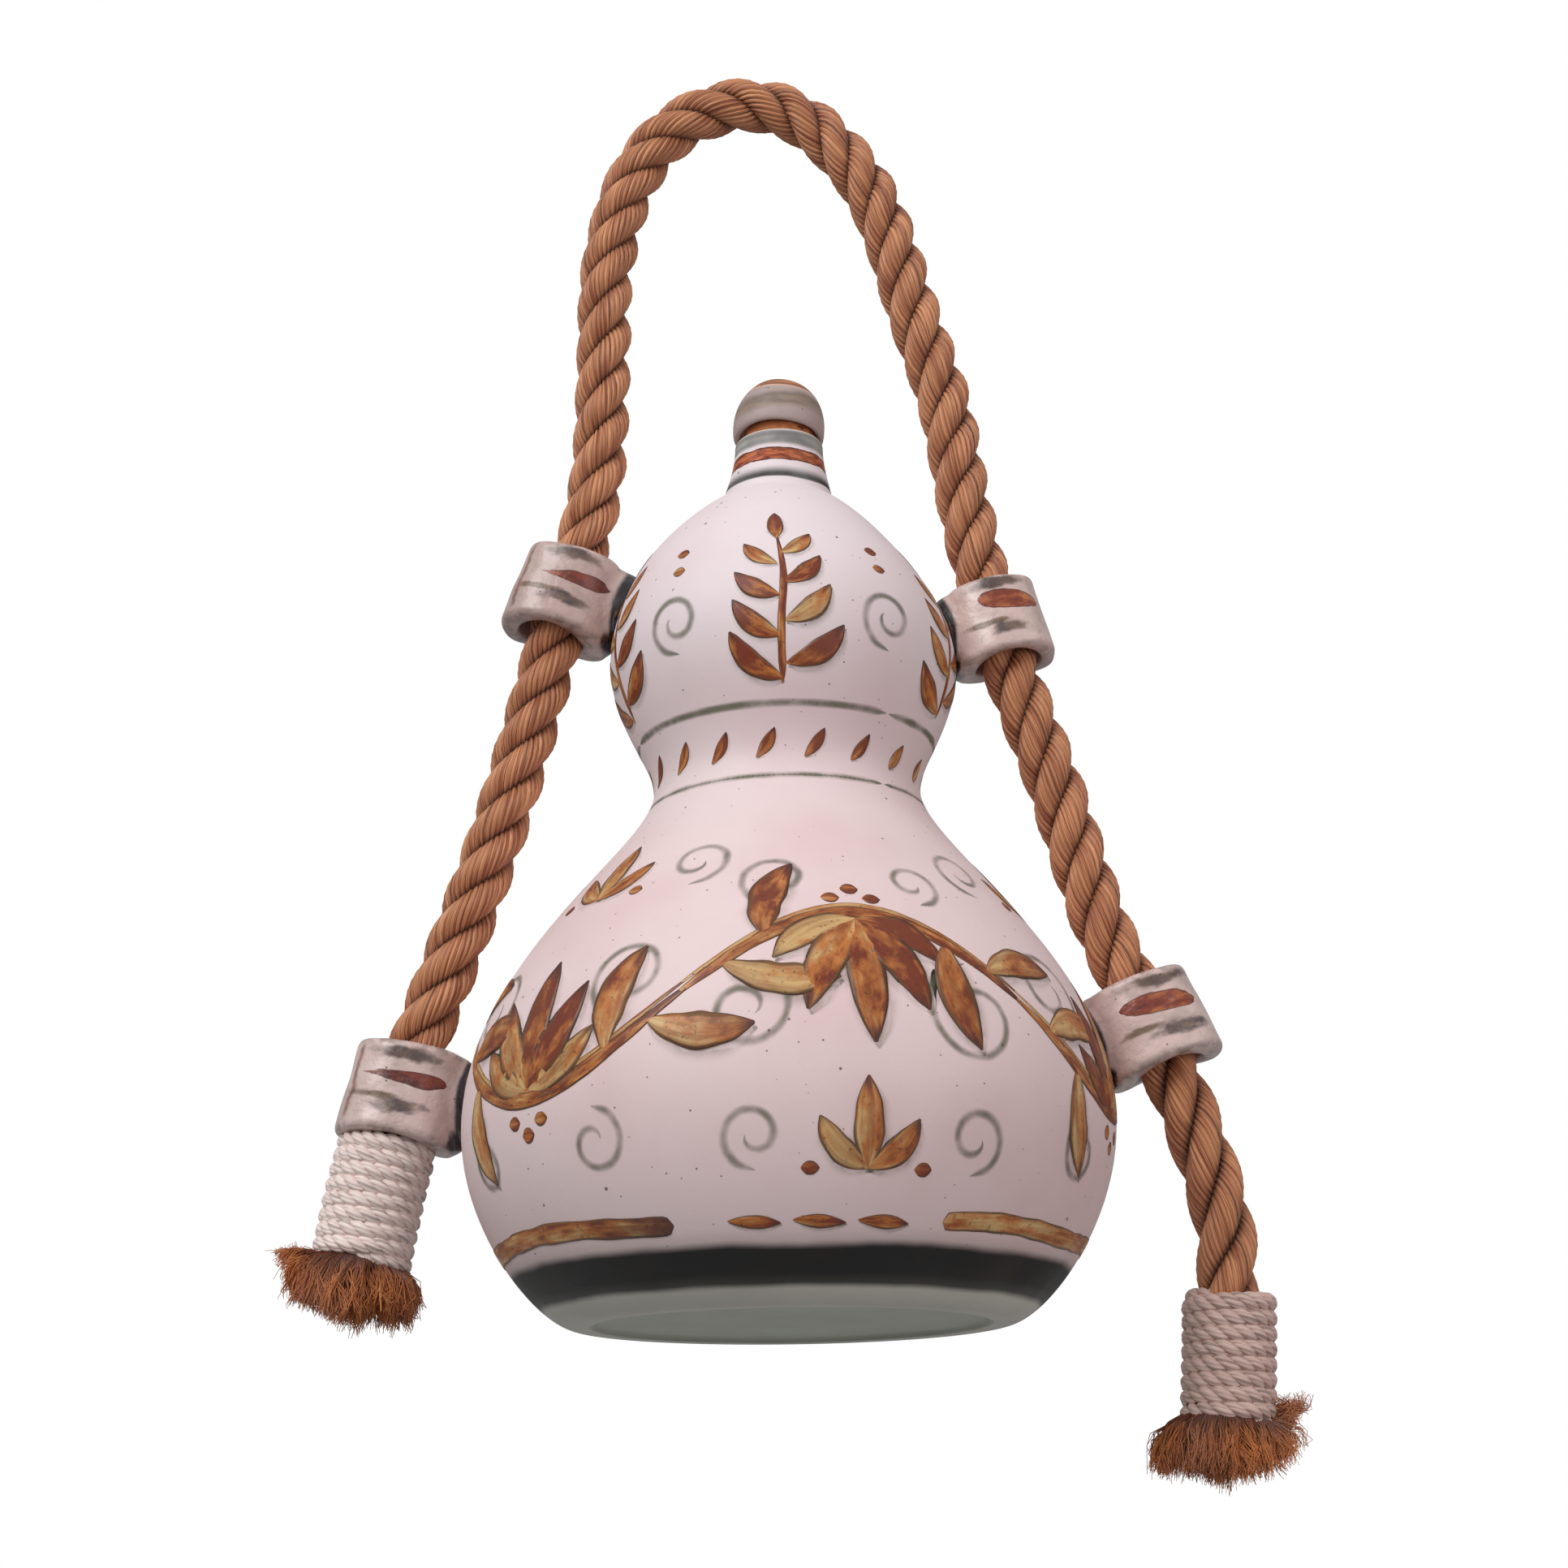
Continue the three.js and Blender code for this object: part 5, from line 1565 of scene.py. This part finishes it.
def lug_piece(name, side, height, reach, lean, width, tall, stroke_start, stroke_end, seed):
    """Short flared tube, arched at its lower rim, with a root drawn out to the body."""
    across = side * (body_radius(height) + reach)
    turn = Matrix.Rotation(-side * lean, 4, "Y")
    place = Matrix.Translation((across, 0, FOOT_LEVEL + height)) @ turn
    wall = LUG_TOP_RADIUS * width - LUG_BORE_RADIUS
    full = LUG_BOTTOM_RADIUS * width
    made = bmesh.new()
    rings = []
    marks = []
    for radius, level in lug_outline(width, tall):
        outwards = min(1.0, (radius - LUG_BORE_RADIUS) / (wall * 0.5))
        ring = []
        for i in range(LUG_SEGMENTS):
            angle = FULL_TURN * i / LUG_SEGMENTS
            c, s = math.cos(angle), math.sin(angle)
            power = abs(c) ** LUG_SQUARENESS + abs(s) ** LUG_SQUARENESS
            squared = radius + (radius * power ** (-1 / LUG_SQUARENESS) - radius) * outwards
            arch = 1 - LUG_ARCH * s * s if level < 0 else 1.0
            local = Vector((squared * c, squared * s, level * arch))
            inner = side * local.x < 0
            if inner:
                local.x *= 1 + LUG_STRETCH * outwards
            uneven = noise.noise_vector(local * LUG_WOBBLE_SCALE + Vector((seed, 0, 0)))
            point = place @ (local + uneven * LUG_WOBBLE * outwards)
            # The inner side is drawn out to the body round the root's middle
            far = math.hypot(local.y / (LUG_ROOT_WIDTH / 2), local.z / (LUG_ROOT_HEIGHT / 2))
            pull = limited((LUG_ROOT_OUTER - far) / (LUG_ROOT_OUTER - LUG_ROOT_INNER)) if inner else 0.0
            pull = pull * pull * (3 - 2 * pull) * limited((outwards - 0.8) / 0.2)
            target = body_radius(min(max(point.z - FOOT_LEVEL, MM), LIP_HEIGHT - 5 * MM))
            target = side * math.sqrt(max(target ** 2 - point.y ** 2, 0)) - side * LUG_ROOT_SINK
            point.x += (target - point.x) * pull
            ring.append(made.verts.new(point))
            marks.append({
                "lug_around": local.x / full, "lug_outer": side * local.x / full,
                "lug_turn": math.atan2(-local.y, side * local.x), "lug_rise": level / (LUG_HEIGHT / 2),
                "lug_joint": pull, "lug_seed": seed, "lug_stroke_start": stroke_start,
                "lug_stroke_end": stroke_end, "lug_blunt": 1.0 if side > 0 else 0.0,
            })
        rings.append(ring)
    for low, high in zip(rings, rings[1:] + rings[:1]):
        bridge(made, low, high)
    piece = finish_piece(name, made, LUG_GLAZE, "flask")
    for label in marks[0]:
        layer = piece.data.attributes.new(label, "FLOAT", "POINT")
        layer.data.foreach_set("value", [mark[label] for mark in marks])
    return piece


for number, (node, facts) in enumerate(LUGS.items()):
    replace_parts(lug_piece("glazed_" + node, seed=LUG_SEED_STEP * number, **facts), node)


# Stopper

def cork_piece():
    """Tapered cork with a wider head and a stem that goes up into the knob."""
    def crumbled(point):
        return point + noise.noise_vector(point * CORK_WOBBLE_SCALE) * STOPPER_WOBBLE

    steps = 20
    taper = CORK_NECK_RADIUS - CORK_TIP_RADIUS
    tip = MM - CORK_DEPTH
    outline = [(0, -CORK_DEPTH), (CORK_TIP_RADIUS - MM, -CORK_DEPTH),
               (CORK_TIP_RADIUS - CORK_EDGE, CORK_EDGE - CORK_DEPTH)]
    outline += [(CORK_TIP_RADIUS + taper * k / steps, tip - (tip + CORK_EDGE) * k / steps)
                for k in range(steps + 1)]
    outline += [(CORK_NECK_RADIUS, CORK_HEAD_LOW), (CORK_HEAD_RADIUS - 0.5 * MM, CORK_HEAD_LOW),
                (CORK_HEAD_RADIUS - 0.1 * MM, CORK_HEAD_LOW + CORK_EDGE)]
    outline += [(CORK_HEAD_RADIUS, CORK_HEAD_LOW + 0.6 * MM + k * 0.5 * MM) for k in range(4)]
    outline += [(CORK_HEAD_RADIUS - 0.4 * MM, CORK_HEAD_TOP), (STEM_RADIUS, CORK_HEAD_TOP),
                (STEM_RADIUS, CORK_HEAD_TOP + STEM_HEIGHT), (0, CORK_HEAD_TOP + STEM_HEIGHT)]
    outline = [(radius, LIP_HEIGHT + height) for radius, height in outline]
    piece = turned_piece("cork", outline, CORK_SEGMENTS, crumbled, CORK, "stopper")
    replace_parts(piece, "stopper_cork")


def knob_piece():
    """Leaning bun with a blind hole below for the cork's stem."""
    pivot = Vector((0, 0, FOOT_LEVEL + LIP_HEIGHT + KNOB_SEAT))
    turn = Matrix.Rotation(KNOB_TILT, 3, "Y") @ Matrix.Rotation(KNOB_LEAN, 3, "X")

    def askew(point):
        uneven = noise.noise_vector(point * KNOB_WOBBLE_SCALE) * STOPPER_WOBBLE
        return pivot + turn @ (point - pivot) + uneven

    bore = STEM_RADIUS + STEM_CLEARANCE
    bore_top = CORK_HEAD_TOP + STEM_HEIGHT + STEM_HEADROOM
    outline = [(0, bore_top), (bore, bore_top), (bore, KNOB_SEAT)]
    outline += bezier([(KNOB_SEAT_RADIUS, KNOB_SEAT), (KNOB_SEAT_RADIUS + MM, KNOB_SEAT - 0.5 * MM),
                       (KNOB_RIM_RADIUS - 0.8 * MM, KNOB_RIM_LOW), (KNOB_RIM_RADIUS, KNOB_RIM_LOW)],
                      steps=8)
    outline += bezier([(KNOB_RIM_RADIUS, KNOB_RIM_LOW), (KNOB_RIM_RADIUS + 0.9 * MM, KNOB_RIM_LOW),
                       (KNOB_RADIUS, KNOB_WIDEST - 2 * MM), (KNOB_RADIUS, KNOB_WIDEST)], steps=12)[1:]
    outline += bezier([(KNOB_RADIUS, KNOB_WIDEST), (KNOB_RADIUS, KNOB_WIDEST + 3.6 * MM),
                       (KNOB_CROWN_RADIUS + 1.9 * MM, KNOB_CROWN_HEIGHT - 2.2 * MM),
                       (KNOB_CROWN_RADIUS + 0.2 * MM, KNOB_CROWN_HEIGHT)], steps=30)[1:]
    outline += bezier([(KNOB_CROWN_RADIUS, KNOB_CROWN_HEIGHT + 0.15 * MM),
                       (KNOB_CROWN_RADIUS - 1.3 * MM, KNOB_TOP - 1.2 * MM),
                       (KNOB_CROWN_RADIUS * 0.5, KNOB_TOP), (0, KNOB_TOP)], steps=20)
    outline = [(radius, LIP_HEIGHT + height) for radius, height in outline]
    piece = turned_piece("glazed_knob", outline, KNOB_SEGMENTS, askew, KNOB_GLAZE, "stopper")
    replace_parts(piece, "stopper_knob")


cork_piece()
knob_piece()
